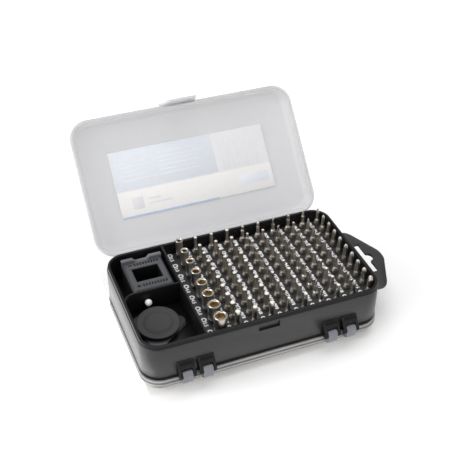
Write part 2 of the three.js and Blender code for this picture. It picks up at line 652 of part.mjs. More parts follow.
const ejectBall = () => solid(new THREE.SphereGeometry(EJECT_BALL_DIAMETER / 2, 12, 8).rotateX(Math.PI / 2))
  .subtract(ejectShank(TOUCH_GAP));
const ejectShank = (clearance) => {
  const geometry = new THREE.CylinderGeometry(
    EJECT_SHANK_DIAMETER / 2 + clearance, EJECT_SHANK_DIAMETER / 2 + clearance, EJECT_LENGTH + clearance, 8);
  geometry.rotateX(Math.PI / 2);
  geometry.translate(0, 0, -(EJECT_LENGTH + clearance) / 2 + clearance);
  return solid(geometry);
};

// ---- tools under the floor -------------------------------------------------------------------
// Every tool lies along X: its row across the case, its height and its ends.
const toolLevel = (thickness) => floorBottom - TOUCH_GAP - TOOL_CLEARANCE - thickness / 2;
const driver = { y: DRIVER_ROW, z: toolLevel(GRIP_DIAMETER), left: DRIVER_LEFT };
const flex = { y: FLEX_ROW, z: toolLevel(FLEX_DIAMETER + 1.5), left: FLEX_LEFT };
const extension = { y: EXTENSION_ROW, z: toolLevel(EXTENSION_DIAMETER), left: EXTENSION_LEFT };
const tweezers = { y: TWEEZERS_ROW, z: toolLevel(TWEEZERS_WIDTH), left: TWEEZERS_LEFT };
const spudgers = SPUDGER_ROWS.map((y) => ({ y, z: toolLevel(SPUDGER_WIDTH), left: SPUDGER_LEFT }));
const driverEnd = driver.left + CAP_LENGTH + GRIP_LENGTH + COLLAR_LENGTH + 2 * TOUCH_GAP;

const driverEndCap = () => barX(GRIP_DIAMETER / 2 - 0.5, driver.left, driver.left + CAP_LENGTH - CAP_GAP,
  driver.y, driver.z)
  .add(barX(CAP_SPIGOT_RADIUS, driver.left + 1, driver.left + CAP_LENGTH + CAP_SPIGOT_REACH, driver.y, driver.z, 8));
const driverGrip = () => {
  const left = driver.left + CAP_LENGTH - CAP_GAP + TOUCH_GAP;
  const right = driver.left + CAP_LENGTH + GRIP_LENGTH;
  const grip = barX(GRIP_DIAMETER / 2, left, left + GRIP_BAND, driver.y, driver.z, 20)
    .add(barX(GRIP_DIAMETER / 2 - 1.5, left + GRIP_BAND - 1, right - GRIP_FRONT_BAND + 1, driver.y, driver.z, 20))
    .add(barX(GRIP_DIAMETER / 2, right - GRIP_FRONT_BAND, right, driver.y, driver.z, 20));
  return grip
    .subtract(barX(CAP_SPIGOT_RADIUS + TOUCH_GAP, left - 1,
      driver.left + CAP_LENGTH + CAP_SPIGOT_REACH + TOUCH_GAP, driver.y, driver.z, 8))
    .subtract(barX(COLLAR_DIAMETER / 2 - 2 + TOUCH_GAP, right - COLLAR_TAIL - 1, right + 1,
      driver.y, driver.z, 12));
};
const driverCollar = () => {
  const left = driver.left + CAP_LENGTH + GRIP_LENGTH + TOUCH_GAP;
  return barX(COLLAR_DIAMETER / 2, left, driverEnd, driver.y, driver.z)
    .add(barX(COLLAR_DIAMETER / 2 - 2, left - COLLAR_TAIL, left + 1, driver.y, driver.z, 12))
    .subtract(hexAlongX(BIT_FLAT + COUPLING_CLEARANCE, driverEnd - BIT_SEAT_DEPTH, driverEnd + 1,
      driver.y, driver.z));
};
const hexAlongX = (flat, left, right, y, z) => {
  const geometry = new THREE.CylinderGeometry(acrossCorners(flat) / 2, acrossCorners(flat) / 2, right - left, 6);
  geometry.rotateZ(-Math.PI / 2);
  geometry.translate((left + right) / 2, y, z);
  return solid(geometry);
};
const driverMagnet = () => barX(1.5, driverEnd - BIT_SEAT_DEPTH + TOUCH_GAP, driverEnd - BIT_SEAT_DEPTH + 3,
  driver.y, driver.z, 10);

const flexSheath = () => barX(FLEX_DIAMETER / 2, flex.left + FLEX_END_LENGTH + TOUCH_GAP,
  flex.left + FLEX_END_LENGTH + FLEX_LENGTH, flex.y, flex.z, 12);
const flexDriveEnd = () => barX(FLEX_DIAMETER / 2 + 0.6, flex.left + 9, flex.left + FLEX_END_LENGTH, flex.y, flex.z, 12)
  .add(hexAlongX(BIT_FLAT, flex.left - 4, flex.left + 10, flex.y, flex.z));
const flexSocketEnd = () => {
  const left = flex.left + FLEX_END_LENGTH + FLEX_LENGTH + TOUCH_GAP;
  return barX(FLEX_DIAMETER / 2 + 0.6, left, left + FLEX_END_LENGTH, flex.y, flex.z, 12)
    .subtract(hexAlongX(BIT_FLAT + COUPLING_CLEARANCE, left + FLEX_END_LENGTH - COUPLING_SEAT_DEPTH,
      left + FLEX_END_LENGTH + 1, flex.y, flex.z));
};
const extensionBar = () => {
  const right = extension.left + EXTENSION_LENGTH;
  return barX(EXTENSION_DIAMETER / 2, extension.left + 18, right, extension.y, extension.z, 12)
    .add(hexAlongX(BIT_FLAT, extension.left, extension.left + 19, extension.y, extension.z))
    .subtract(hexAlongX(BIT_FLAT + COUPLING_CLEARANCE, right - COUPLING_SEAT_DEPTH, right + 1, extension.y, extension.z));
};

// A tweezer arm: a bent strip on edge, from the joined end on the left to its tip.
const tweezersArm = (side) => {
  const half = TOUCH_GAP / 2;
  const inner = [[0, half], [12, half], [55, TWEEZERS_OPENING / 2], [80, TWEEZERS_OPENING / 2], [TWEEZERS_LENGTH, 1.4]];
  const outer = inner.map(([x, y]) => [x, y + TWEEZERS_SHEET]).reverse();
  const shape = new THREE.Shape([...inner, ...outer]
    .map(([x, y]) => new THREE.Vector2(tweezers.left + x, tweezers.y + side * y)));
  const blade = plate(shape, tweezers.z - TWEEZERS_WIDTH / 2, tweezers.z + TWEEZERS_WIDTH / 2);
  const taper = new THREE.Shape([[70, -9], [TWEEZERS_LENGTH + 1, -9], [TWEEZERS_LENGTH + 1, 9], [70, 9],
    [70, TWEEZERS_WIDTH / 2], [TWEEZERS_LENGTH, 0.8], [TWEEZERS_LENGTH, -0.8], [70, -TWEEZERS_WIDTH / 2]]
    .map(([x, z]) => new THREE.Vector2(tweezers.left + x, tweezers.z + z)));
  const wedge = new THREE.ExtrudeGeometry(taper, { depth: 20, bevelEnabled: false });
  wedge.rotateX(Math.PI / 2);
  wedge.translate(0, tweezers.y + 10, 0);
  return blade.subtract(solid(wedge));
};

const spudger = (place, thickness, tipWidth) => {
  const half = SPUDGER_WIDTH / 2;
  const shape = new THREE.Shape([[0, -half], [SPUDGER_LENGTH - 22, -half], [SPUDGER_LENGTH, -tipWidth / 2],
    [SPUDGER_LENGTH, tipWidth / 2], [SPUDGER_LENGTH - 22, half], [0, half]]
    .map(([x, z]) => new THREE.Vector2(place.left + x, place.z + z)));
  const geometry = new THREE.ExtrudeGeometry(shape, { depth: thickness, bevelEnabled: false });
  geometry.rotateX(Math.PI / 2);
  geometry.translate(0, place.y + thickness / 2, 0);
  return solid(geometry);
};

// Two ribs under the floor with a notch for each tool.
const toolRibs = () => {
  const notches = [
    [driver.y, GRIP_DIAMETER], [flex.y, FLEX_DIAMETER + 1.5], [extension.y, EXTENSION_DIAMETER],
    [tweezers.y, TWEEZERS_OPENING + 2 * TWEEZERS_SHEET + 1],
    ...spudgers.map((place) => [place.y, SPUDGER_THICK]),
  ];
  const ribs = RIB_PLACES.map((x) => {
    let rib = block([x - RIB_THICK / 2, insideFront - WALL / 2, bottomEdge],
      [x + RIB_THICK / 2, -insideFront + WALL / 2, floorBottom + FLOOR_THICK / 2]);
    for (const [y, width] of notches) {
      rib = rib.subtract(block([x - RIB_THICK, y - width / 2 - TOOL_CLEARANCE, bottomEdge - 1],
        [x + RIB_THICK, y + width / 2 + TOOL_CLEARANCE, floorBottom]));
    }
    return rib;
  });
  return ribs[0].add(ribs[1]);
};

// ---- materials -----------------------------------------------------------------------------
const finish = (color, roughness, metalness = 0, opacity = 1) =>
  new THREE.MeshStandardMaterial({ color, roughness, metalness, opacity, transparent: opacity < 1 });
const blackPlastic = finish(0x2b2b2d, 0.45);
const frostedPlastic = finish(0xeeeef0, 0.35, 0, 0.45);
const toolSteel = finish(0x8d8778, 0.28, 1);
const brightSteel = finish(0xc4c2bd, 0.25, 1);
const greyPlastic = finish(0x56575b, 0.55);
const greyRubber = finish(0x48484a, 0.8);
const slatePlastic = finish(0x3c3e46, 0.5);
const whitePlastic = finish(0xf4f4f2, 0.3);
const paleCard = finish(0xe6e8ee, 0.8);
const magnetSteel = finish(0x6d6d70, 0.4, 1);

// ---- assembly ------------------------------------------------------------------------------
const set = new THREE.Group();
const addTo = (parent, name, body, material, place = [0, 0, 0]) => {
  const mesh = new THREE.Mesh(geometryOf(body), material);
  mesh.name = name;
  mesh.position.set(...place);
  parent.add(mesh);
  return mesh;
};

addTo(set, 'case_body', caseBody(), blackPlastic);
addTo(set, 'bit_deck', bitDeck(), blackPlastic);
hingeCentres.forEach((centre, i) => {
  const side = i ? 'right' : 'left';
  addTo(set, `front_hinge_pin_${side}`, hingePin(frontHinge, centre), blackPlastic);
  addTo(set, `back_hinge_pin_${side}`, toBack(hingePin(backHinge, centre)), blackPlastic);
});
addTo(set, 'bottom_lid', lid(frontHinge), frostedPlastic);

// The top lid hangs on its own pivot, at the back pin, and rests open.
const topPivotY = halfWidth + BACK_PIN_OUT;
const topPivotZ = rimTop - BACK_PIN_FROM_EDGE;
const topLidPivot = new THREE.Group();
topLidPivot.position.set(0, topPivotY, topPivotZ);
topLidPivot.rotation.x = -THREE.MathUtils.degToRad(LID_OPENING);
set.add(topLidPivot);
const pivotPlace = [0, -topPivotY, -topPivotZ];
addTo(topLidPivot, 'top_lid', toBack(lid(backHinge)), frostedPlastic, pivotPlace);
const labelHalfX = halfLength + BEAD_OVERHANG - PANEL_INSET - 1;
const labelHalfY = halfWidth + BEAD_OVERHANG - PANEL_INSET - 1;
const labelTop = closedHeight - LID_WALL - TOUCH_GAP;
addTo(topLidPivot, 'label_card', block([-labelHalfX, -labelHalfY, labelTop - LABEL_THICK],
  [labelHalfX, labelHalfY, labelTop]), paleCard, pivotPlace);

for (let index = 0; index < SOCKET_COUNT; index += 1) {
  addTo(set, `nut_socket_${index + 1}`, socket(index), toolSteel, [socketColumn, socketY(index), bitFoot]);
}
for (let column = 0; column < BIT_COLUMNS - 1; column += 1) {
  addTo(set, `bit_column_${column + 1}`, bitColumn(), toolSteel, [bitX(column), 0, bitFoot]);
}
for (let row = 0; row < BIT_ROWS; row += 1) {
  addTo(set, `phillips_bit_${row + 1}`, bit(), toolSteel, [lastColumn, bitY(row), bitFoot]);
}

const magnetizerPlace = [magnetizerX, magnetizerY, floorTop + TOUCH_GAP];
addTo(set, 'magnetizer_case', magnetizerCase(), greyPlastic, magnetizerPlace);
['front', 'back'].forEach((side, i) => {
  const y = i ? magnetOffset : -magnetOffset;
  addTo(set, `magnetizer_magnet_${side}`, block([-MAGNET_WIDTH / 2, y - MAGNET_THICK / 2, 0],
    [MAGNET_WIDTH / 2, y + MAGNET_THICK / 2, MAGNET_HEIGHT]), magnetSteel, magnetizerPlace);
});

const pickLevel = bayFloorTop + TOUCH_GAP;
const pickStep = PICK_THICK + TOUCH_GAP;
addTo(set, 'opening_pick_lower', openingPick(), slatePlastic, [cupX, cupY - PICK_FORWARD, pickLevel])
  .rotation.z = THREE.MathUtils.degToRad(PICK_TURN);
addTo(set, 'opening_pick_upper', openingPick(), slatePlastic,
  [cupX, cupY - PICK_FORWARD, pickLevel + pickStep])
  .rotation.z = THREE.MathUtils.degToRad(2 * PICK_TURN);
const cupTilt = THREE.MathUtils.degToRad(CUP_TILT);
const cupFoot = pickLevel + 2 * pickStep + 7 * Math.sin(cupTilt);
addTo(set, 'suction_cup', suctionCup(), greyRubber, [cupX, cupY, cupFoot]).rotation.x = cupTilt;
const ejectHead = ejectPinFoot + EJECT_LENGTH;
addTo(set, 'eject_pin_shank', ejectShank(0), brightSteel, [ejectPinX, ejectPinY, ejectHead]);
addTo(set, 'eject_pin_ball', ejectBall(), whitePlastic, [ejectPinX, ejectPinY, ejectHead]);

addTo(set, 'driver_end_cap', driverEndCap(), blackPlastic);
addTo(set, 'driver_grip', driverGrip(), blackPlastic);
addTo(set, 'driver_collar', driverCollar(), brightSteel);
addTo(set, 'driver_magnet', driverMagnet(), magnetSteel);
addTo(set, 'flex_shaft_sheath', flexSheath(), blackPlastic);
addTo(set, 'flex_shaft_drive_end', flexDriveEnd(), brightSteel);
addTo(set, 'flex_shaft_socket_end', flexSocketEnd(), brightSteel);
addTo(set, 'extension_bar', extensionBar(), brightSteel);
addTo(set, 'tweezers_front_arm', tweezersArm(-1), brightSteel);
addTo(set, 'tweezers_back_arm', tweezersArm(1), brightSteel);
addTo(set, 'spudger_flat', spudger(spudgers[0], SPUDGER_THICK, 5), blackPlastic);
addTo(set, 'spudger_pointed', spudger(spudgers[1], SPUDGER_THICK, 1.5), blackPlastic);
addTo(set, 'spudger_steel', spudger(spudgers[2], 1, 6), brightSteel);

export default set;
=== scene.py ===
# Precision screwdriver set in a two-sided case, open on the bench. Metres, +Z up, X along the case.
import math

import bpy
import numpy as np
from mathutils import Matrix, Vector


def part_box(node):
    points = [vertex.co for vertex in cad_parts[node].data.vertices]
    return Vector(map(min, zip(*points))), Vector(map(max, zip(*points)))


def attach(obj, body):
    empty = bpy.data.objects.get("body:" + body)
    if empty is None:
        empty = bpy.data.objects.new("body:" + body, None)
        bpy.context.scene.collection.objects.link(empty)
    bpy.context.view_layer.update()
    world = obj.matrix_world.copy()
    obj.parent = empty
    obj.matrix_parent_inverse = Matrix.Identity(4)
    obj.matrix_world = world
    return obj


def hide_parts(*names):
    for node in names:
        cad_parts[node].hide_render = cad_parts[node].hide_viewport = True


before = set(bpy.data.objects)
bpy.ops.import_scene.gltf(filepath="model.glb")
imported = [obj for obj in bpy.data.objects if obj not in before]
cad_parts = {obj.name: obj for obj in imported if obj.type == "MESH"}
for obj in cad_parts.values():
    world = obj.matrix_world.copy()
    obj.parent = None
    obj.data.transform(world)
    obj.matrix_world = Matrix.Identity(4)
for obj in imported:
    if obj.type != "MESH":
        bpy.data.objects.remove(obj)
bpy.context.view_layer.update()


# ---- Case wall -------------------------------------------------------------------------------
# The wall is one black polypropylene moulding, 2 mm thick, with a lip set back 0.7 mm at both
# edges where the lids close over it. Its section is carried round the rounded outline. The lips and
# the inside are painted darker and duller than the outer face: painted shade on the set-back lip bands and
# inside.
case_half_x = 0.0875
case_half_y = 0.0504
case_corner = 0.0135
body_bottom = 0.013
rim_top = 0.0441
wall = 0.002
lip_height = 0.003
lip_step = 0.0007
floor_top = rim_top - 0.0224
floor_bottom = floor_top - 0.002


def rounded_loop(half_x, half_y, radius, steps=14):
    """Points round a rounded rectangle: four quarter circles of steps + 1 points, joined by straights."""
    turn = np.linspace(0, math.pi / 2, steps + 1)
    angle = np.concatenate([turn + quarter * math.pi / 2 for quarter in range(4)])
    side_x = np.repeat([1, -1, -1, 1], steps + 1)
    side_y = np.repeat([1, 1, -1, -1], steps + 1)
    return np.stack([side_x * (half_x - radius) + radius * np.cos(angle),
                     side_y * (half_y - radius) + radius * np.sin(angle)], axis=1)


def grid_faces(rings, around, close_rings=False):
    """Quads over a grid of rings x around points, wrapped around, and wrapped ring to ring if asked."""
    ring = np.arange(rings if close_rings else rings - 1)[:, None]
    point = np.arange(around)[None, :]
    after = (point + 1) % around
    above = (ring + 1) % rings
    quads = np.stack(np.broadcast_arrays(ring * around + point, ring * around + after,
                                         above * around + after, above * around + point), axis=-1)
    return quads.reshape(-1, 4)


def tube_parts(rings, close_rings=False, caps=True):
    """Rings of points (rings, around, 3) to vertices and faces, with a flat cap at each end if open."""
    rings = np.asarray(rings, dtype=float)
    count, around = rings.shape[:2]
    faces = grid_faces(count, around, close_rings).tolist()
    if caps and not close_rings:
        faces.append(list(range(around))[::-1])
        faces.append(list(range((count - 1) * around, count * around)))
    return rings.reshape(-1, 3), faces


def at_height(loop, height):
    """A flat outline as points at one height."""
    return np.column_stack([loop, np.full(len(loop), height)])


def piece_of(name, parts, material, smooth_angle=35):
    """One object from several (vertices, faces) parts, smooth where faces meet below the angle."""
    points = []
    faces = []
    start = 0
    for part_points, part_faces in parts:
        points.append(np.asarray(part_points, dtype=float))
        faces.extend([[corner + start for corner in face] for face in part_faces])
        start += len(part_points)
    mesh = bpy.data.meshes.new(name)
    mesh.from_pydata(np.concatenate(points).tolist(), [], faces)
    mesh.update()
    piece = bpy.data.objects.new(name, mesh)
    bpy.context.scene.collection.objects.link(piece)
    mesh.materials.append(material)
    mesh.shade_smooth()
    mesh.set_sharp_from_angle(angle=math.radians(smooth_angle))
    return piece


def material_of(name, colour, roughness, metallic=0.0):
    """A material with its main shader, and that shader, for the caller to add its own nodes."""
    material = bpy.data.materials.new(name)
    material.use_nodes = True
    shader = material.node_tree.nodes["Principled BSDF"]
    shader.inputs["Base Color"].default_value = (*colour, 1)
    shader.inputs["Roughness"].default_value = roughness
    shader.inputs["Metallic"].default_value = metallic
    return material, shader


def add_grain(material, shader, scale, bump, rough_low, rough_high, detail=4.0, stretch=(1, 1, 1)):
    """Noise in object space: a fine bump of the given height in metres and a roughness that varies."""
    nodes = material.node_tree.nodes
    links = material.node_tree.links
    place = nodes.new("ShaderNodeTexCoord")
    mapping = nodes.new("ShaderNodeMapping")
    mapping.inputs["Scale"].default_value = stretch
    noise = nodes.new("ShaderNodeTexNoise")
    noise.inputs["Scale"].default_value = scale
    noise.inputs["Detail"].default_value = detail
    spread = nodes.new("ShaderNodeMapRange")
    spread.inputs["From Min"].default_value = 0.3
    spread.inputs["From Max"].default_value = 0.7
    spread.inputs["To Min"].default_value = rough_low
    spread.inputs["To Max"].default_value = rough_high
    height = nodes.new("ShaderNodeBump")
    height.inputs["Distance"].default_value = bump
    height.inputs["Strength"].default_value = 0.6
    links.new(place.outputs["Object"], mapping.inputs["Vector"])
    links.new(mapping.outputs["Vector"], noise.inputs["Vector"])
    links.new(noise.outputs["Fac"], spread.inputs["Value"])
    links.new(noise.outputs["Fac"], height.inputs["Height"])
    links.new(spread.outputs["Result"], shader.inputs["Roughness"])
    links.new(height.outputs["Normal"], shader.inputs["Normal"])
    return noise


def tint_by_noise(material, shader, noise, dark, light):
    """The base colour drifts between two near tones with the noise, as moulded plastic does."""
    nodes = material.node_tree.nodes
    links = material.node_tree.links
    ramp = nodes.new("ShaderNodeValToRGB")
    ramp.color_ramp.elements[0].position = 0.35
    ramp.color_ramp.elements[0].color = (*dark, 1)
    ramp.color_ramp.elements[1].position = 0.65
    ramp.color_ramp.elements[1].color = (*light, 1)
    links.new(noise.outputs["Fac"], ramp.inputs["Fac"])
    links.new(ramp.outputs["Color"], shader.inputs["Base Color"])


def grained(name, colour, roughness, metallic, grain, tones=None, **spread):
    """A grained material and its shader: grain is scale, bump and the two ends of roughness."""
    material, shader = material_of(name, colour, roughness, metallic)
    noise = add_grain(material, shader, *grain, **spread)
    if tones:
        tint_by_noise(material, shader, noise, *tones)
    return material, shader


def finish_faces(piece, others, finish_of_face):
    """Adds other finishes to a piece, and gives every face the number of its finish."""
    for material in others:
        piece.data.materials.append(material)
    piece.data.polygons.foreach_set("material_index", np.asarray(finish_of_face, dtype=np.int32))


black_plastic, black_shader = grained(
    "black_polypropylene", (0.018, 0.018, 0.019), 0.36, 0, (900, 0.00002, 0.30, 0.42),
    ((0.015, 0.015, 0.016), (0.021, 0.021, 0.022)))
black_shader.inputs["Specular IOR Level"].default_value = 0.55
# A darker, duller copy of the same black polypropylene: painted shade for recessed, inside and shadowed
# faces.
black_plastic_painted_shade, black_shader_painted_shade = grained(
    "black_polypropylene_painted_shade", (0.006, 0.006, 0.0065), 0.34, 0, (900, 0.00001, 0.30, 0.40),
    ((0.005, 0.005, 0.0055), (0.008, 0.008, 0.0085)))
black_shader_painted_shade.inputs["Specular IOR Level"].default_value = 0.22

edge_round = 0.0004
wall_profile = np.array([
    (-wall + edge_round, body_bottom), (-edge_round, body_bottom), (0, body_bottom + edge_round),
    (0, body_bottom + lip_height - 0.0003), (0.0002, body_bottom + lip_height),
    (lip_step - 0.0002, body_bottom + lip_height + 0.0001), (lip_step, body_bottom + lip_height + 0.0004),
    (lip_step, rim_top - lip_height - 0.0004), (lip_step - 0.0002, rim_top - lip_height - 0.0001),
    (0.0002, rim_top - lip_height), (0, rim_top - lip_height + 0.0003),
    (0, rim_top - edge_round), (-0.00012, rim_top - 0.00012), (-edge_round, rim_top),
    (-wall + edge_round, rim_top), (-wall + 0.00012, rim_top - 0.00012), (-wall, rim_top - edge_round),
    (-wall, body_bottom + edge_round)])
wall_rings = []
for offset, height in wall_profile:
    loop = rounded_loop(case_half_x + offset, case_half_y + offset, case_corner + offset)
    wall_rings.append(at_height(loop, height))
case_wall = piece_of("case_wall", [tube_parts(wall_rings, close_rings=True)], black_plastic)
wall_band = np.repeat(np.arange(len(wall_profile)), len(wall_rings[0]))
outer_face_start, outer_face_end = 4, 9
# The lips and the inside faces take the darker copy of the black plastic: painted shade.
finish_faces(case_wall, [black_plastic_painted_shade], (wall_band < outer_face_start) | (wall_band >= outer_face_end))


def cut_away(piece, cutter, smooth_angle):
    """Cuts the cutter's shape out of a piece, applies the cut to its mesh and removes the cutter."""
    cut = piece.modifiers.new("cut", "BOOLEAN")
    cut.operation = "DIFFERENCE"
    cut.object = cutter
    bpy.context.view_layer.update()
    shaped = bpy.data.meshes.new_from_object(piece.evaluated_get(bpy.context.evaluated_depsgraph_get()))
    piece.modifiers.clear()
    piece.data = shaped
    shaped.set_sharp_from_angle(angle=math.radians(smooth_angle))
    bpy.data.objects.remove(cutter)


def cut_box(piece, low, high):
    """Cuts a box with rounded edges out of a piece."""
    low = np.asarray(low, dtype=float)
    high = np.asarray(high, dtype=float)
    loop = rounded_loop((high[0] - low[0]) / 2, (high[2] - low[2]) / 2, 0.0003, 3)
    middle = (low + high) / 2
    rings = [np.column_stack([loop[:, 0] + middle[0], np.full(len(loop), y), loop[:, 1] + middle[2]])
             for y in (high[1], low[1])]
    cut_away(piece, piece_of("cutter", [tube_parts(rings)], black_plastic), 35)


latch_slot_half = 0.0077
latch_slot_depth = 0.0016
for side, slot_low, slot_high in ((-1, 0.0348, 0.0400), (1, 0.0171, 0.0223)):
    face = case_half_y + lip_step
    front, back = sorted((side * (face - latch_slot_depth), side * (face + 0.001)))
    cut_box(case_wall, (-latch_slot_half, front, slot_low), (latch_slot_half, back, slot_high))
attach(case_wall, "case")


# ---- Floor and dividers ----------------------------------------------------------------------
# The floor between the two sides, the raised floor of the front bay, and the thin dividers of the
# left bays belong to the same black moulding. The dividers have softly rounded top edges.
inside_left = -case_half_x + wall
inside_front = -case_half_y + wall
divider_left = inside_left + 0.0407
divider_right = divider_left + 0.0016
cross_front = inside_front + 0.0536
cross_back = cross_front + 0.0016
bay_floor_top = rim_top - 0.0183
bend = 0.0077


def slab(loop, levels, insets):
    """A plate whose outline is carried through levels, moved inwards along its normals by insets."""
    loop = np.asarray(loop, dtype=float)
    ahead = np.roll(loop, -1, axis=0) - loop
    behind = loop - np.roll(loop, 1, axis=0)
    ahead = ahead / np.maximum(np.linalg.norm(ahead, axis=1), 1e-9)[:, None]
    behind = behind / np.maximum(np.linalg.norm(behind, axis=1), 1e-9)[:, None]
    along = ahead + behind
    along = along / np.maximum(np.linalg.norm(along, axis=1), 1e-9)[:, None]
    share = np.maximum(np.sum(along * ahead, axis=1), 0.5)[:, None]
    inward = np.stack([-along[:, 1], along[:, 0]], axis=1) / share
    return tube_parts([at_height(loop + inward * inset, level) for level, inset in zip(levels, insets)])


def plate(loop, low, high, edge):
    """A plate from low to high with its top and bottom edges rounded by edge."""
    third = edge * 0.3
    return slab(loop, (low, low + third, low + edge, high - edge, high - third, high),
                (edge, third, 0, 0, third, edge))


def rectangle(left, right, front, back, radius=0.0, steps=6):
    """A rectangle's outline with rounded corners, anticlockwise."""
    if radius == 0:
        return np.array([(left, front), (right, front), (right, back), (left, back)])
    loop = rounded_loop((right - left) / 2, (back - front) / 2, radius, steps)
    return loop + np.array([(left + right) / 2, (front + back) / 2])


inner_loop = rounded_loop(case_half_x - wall + 0.0002, case_half_y - wall + 0.0002, case_corner - wall)
bay_corner = case_corner - wall
bay_turn = np.linspace(math.pi, 1.5 * math.pi, 12)
bay_outline = np.vstack([
    np.column_stack([inside_left + bay_corner + bay_corner * np.cos(bay_turn),
                     inside_front + bay_corner + bay_corner * np.sin(bay_turn)]),
    [(divider_left + 0.0004, inside_front), (divider_left + 0.0004, cross_front + 0.0004),
     (inside_left, cross_front + 0.0004)]])
bend_turn = np.linspace(0.97 * math.pi, 0.5 * math.pi, 12)
bend_x = inside_left + bend
bend_y = cross_front - bend
cross_outline = np.vstack([
    [(divider_left + 0.0004, cross_front), (divider_left + 0.0004, cross_back)],
    np.column_stack([bend_x + (bend + 0.0016) * np.cos(bend_turn[::-1]),
                     bend_y + (bend + 0.0016) * np.sin(bend_turn[::-1])]),
    np.column_stack([bend_x + bend * np.cos(bend_turn), bend_y + bend * np.sin(bend_turn)])])
floor_parts = [
    plate(inner_loop, floor_bottom, floor_top, 0.0002),
    plate(bay_outline, floor_bottom + 0.0003, bay_floor_top, 0.0002),
    plate(rectangle(divider_left, divider_right, inside_front - 0.0004, -inside_front + 0.0004),
          floor_top - 0.0004, rim_top, 0.0004),
    plate(cross_outline, floor_top - 0.0004, rim_top - 0.0002, 0.0004)]


def full_turn(steps):
    """The angles of a full turn in equal steps, without the last one, which is the first again."""
    return np.linspace(0, 2 * math.pi, steps + 1)[:-1]


def level_ring(x, y, radius, turn, height):
    """Points round an upright axis at x and y: a radius at each angle, all at one height."""
    return at_height(np.column_stack([x + radius * np.cos(turn), y + radius * np.sin(turn)]), height)


post_turn = full_turn(24)
post_radius = 0.0024
column_pitch = 0.01246
row_pitch = 0.009416
last_column = case_half_x - wall - 0.0055
first_column = last_column - 8 * column_pitch
bit_y = (4.5 - np.arange(10)) * row_pitch
for column in (0, 3, 6):
    for row in (1, 5, 9):
        post_x = first_column + (column + 0.5) * column_pitch
        post_y = bit_y[row] + row_pitch / 2
        post = level_ring(post_x, post_y, post_radius, post_turn, 0)[:, :2]
        floor_parts.append(plate(post, floor_top - 0.0003, rim_top - 0.0153, 0.0003))
# The floor, bay floor, dividers and posts take the darker copy of the black plastic: painted shade in the
# bays.
case_floor = piece_of("case_floor_and_dividers", floor_parts, black_plastic_painted_shade, 50)
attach(case_floor, "case")


# ---- Hanging tab -----------------------------------------------------------------------------
# The tab by which the set hangs on a peg is a 2 mm flange on the right wall with a euro slot.
# Its outline has bent shoulders, its edges are rounded, and the slot is cut through it.
tab_top = rim_top - 0.0166
tab_reach = 0.028
tab_half = 0.034


def curve_of(start, control, end, steps=8):
    """Points on a bend from start to end drawn towards control (a quadratic curve)."""
    t = np.linspace(0, 1, steps + 1)[:, None]
    return (1 - t) ** 2 * np.array(start) + 2 * t * (1 - t) * np.array(control) + t ** 2 * np.array(end)


tab_root = case_half_x - wall / 2
tab_end = case_half_x + tab_reach
tab_lower = np.vstack([
    [(tab_root, -tab_half)],
    curve_of((case_half_x + tab_reach * 0.36, -tab_half), (case_half_x + tab_reach * 0.52, -tab_half * 0.97),
             (case_half_x + tab_reach * 0.6, -tab_half * 0.8)),
    curve_of((tab_end - 0.0016, -tab_half * 0.17), (tab_end, 0), (tab_end - 0.0016, tab_half * 0.17), 12)])
tab_upper = tab_lower[:10][::-1] * np.array([1, -1])
tab_outline = np.vstack([tab_lower, tab_upper])
tab_thick = 0.002
hanging_tab = piece_of("hanging_tab", [plate(tab_outline, tab_top - tab_thick, tab_top, 0.0004)],
                       black_plastic, 50)
slot_left = case_half_x + 0.0114
slot_right = slot_left + 0.0044
hook_radius = 0.0045
hook_x = slot_right - (hook_radius - 0.0038) - 0.0001
hook_limit = math.acos((slot_right - hook_x) / hook_radius)
hook_turn = np.linspace(-hook_limit, hook_limit, 16)
euro_slot = np.vstack([
    [(slot_left, 0.0166), (slot_left, -0.0166), (slot_right, -0.0166)],
    np.column_stack([hook_x + hook_radius * np.cos(hook_turn), hook_radius * np.sin(hook_turn)]),
    [(slot_right, 0.0166)]])
slot_cutter = piece_of("slot_cutter", [plate(euro_slot, tab_top - tab_thick - 0.001, tab_top + 0.001, 0.0)],
                       black_plastic)
cut_away(hanging_tab, slot_cutter, 40)
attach(hanging_tab, "case")


# ---- Hinge ears, hoods and pins --------------------------------------------------------------
# Each hinge has four black ears with a hood between each pair, on the case wall. The pin passes
# through the ears and shows in the middle gap. The back hinges are the front ones turned over.
front_pin = (0.0050, 0.0047)
back_pin = (0.0029, 0.0053)
closed_height = rim_top + body_bottom
hinge_centres = (-0.0534, 0.0534)
hinge_width = 0.026
ear_thick = 0.002
gap = 0.0003
knuckle_width = 0.007
barrel = 0.0028
knuckle_outer = hinge_width / 2 - ear_thick - gap
knuckle_inner = knuckle_outer - knuckle_width
ear_inner = knuckle_inner - gap - ear_thick
swing = barrel + 0.0006


def hinge_side(outline, left, right, over, edge=0.0002):
    """A section (distance out from the middle, height) drawn along X, turned over for the back."""
    outline = np.asarray(outline, dtype=float)
    sections, faces = slab(outline, (left, left + edge, right - edge, right), (edge, 0, 0, edge))
    out, up, x = sections[:, 0], sections[:, 1], sections[:, 2]
    y = out if over else -out
    z = closed_height - up if over else up
    return np.column_stack([x, y, z]), [face[::-1] for face in faces]


def arc(centre_out, centre_up, radius, start, end, steps):
    """Points on an arc in the plane across the hinge, angles in degrees from straight out."""
    turn = np.radians(np.linspace(start, end, steps + 1))
    return np.column_stack([centre_out + radius * np.cos(turn), centre_up + radius * np.sin(turn)])


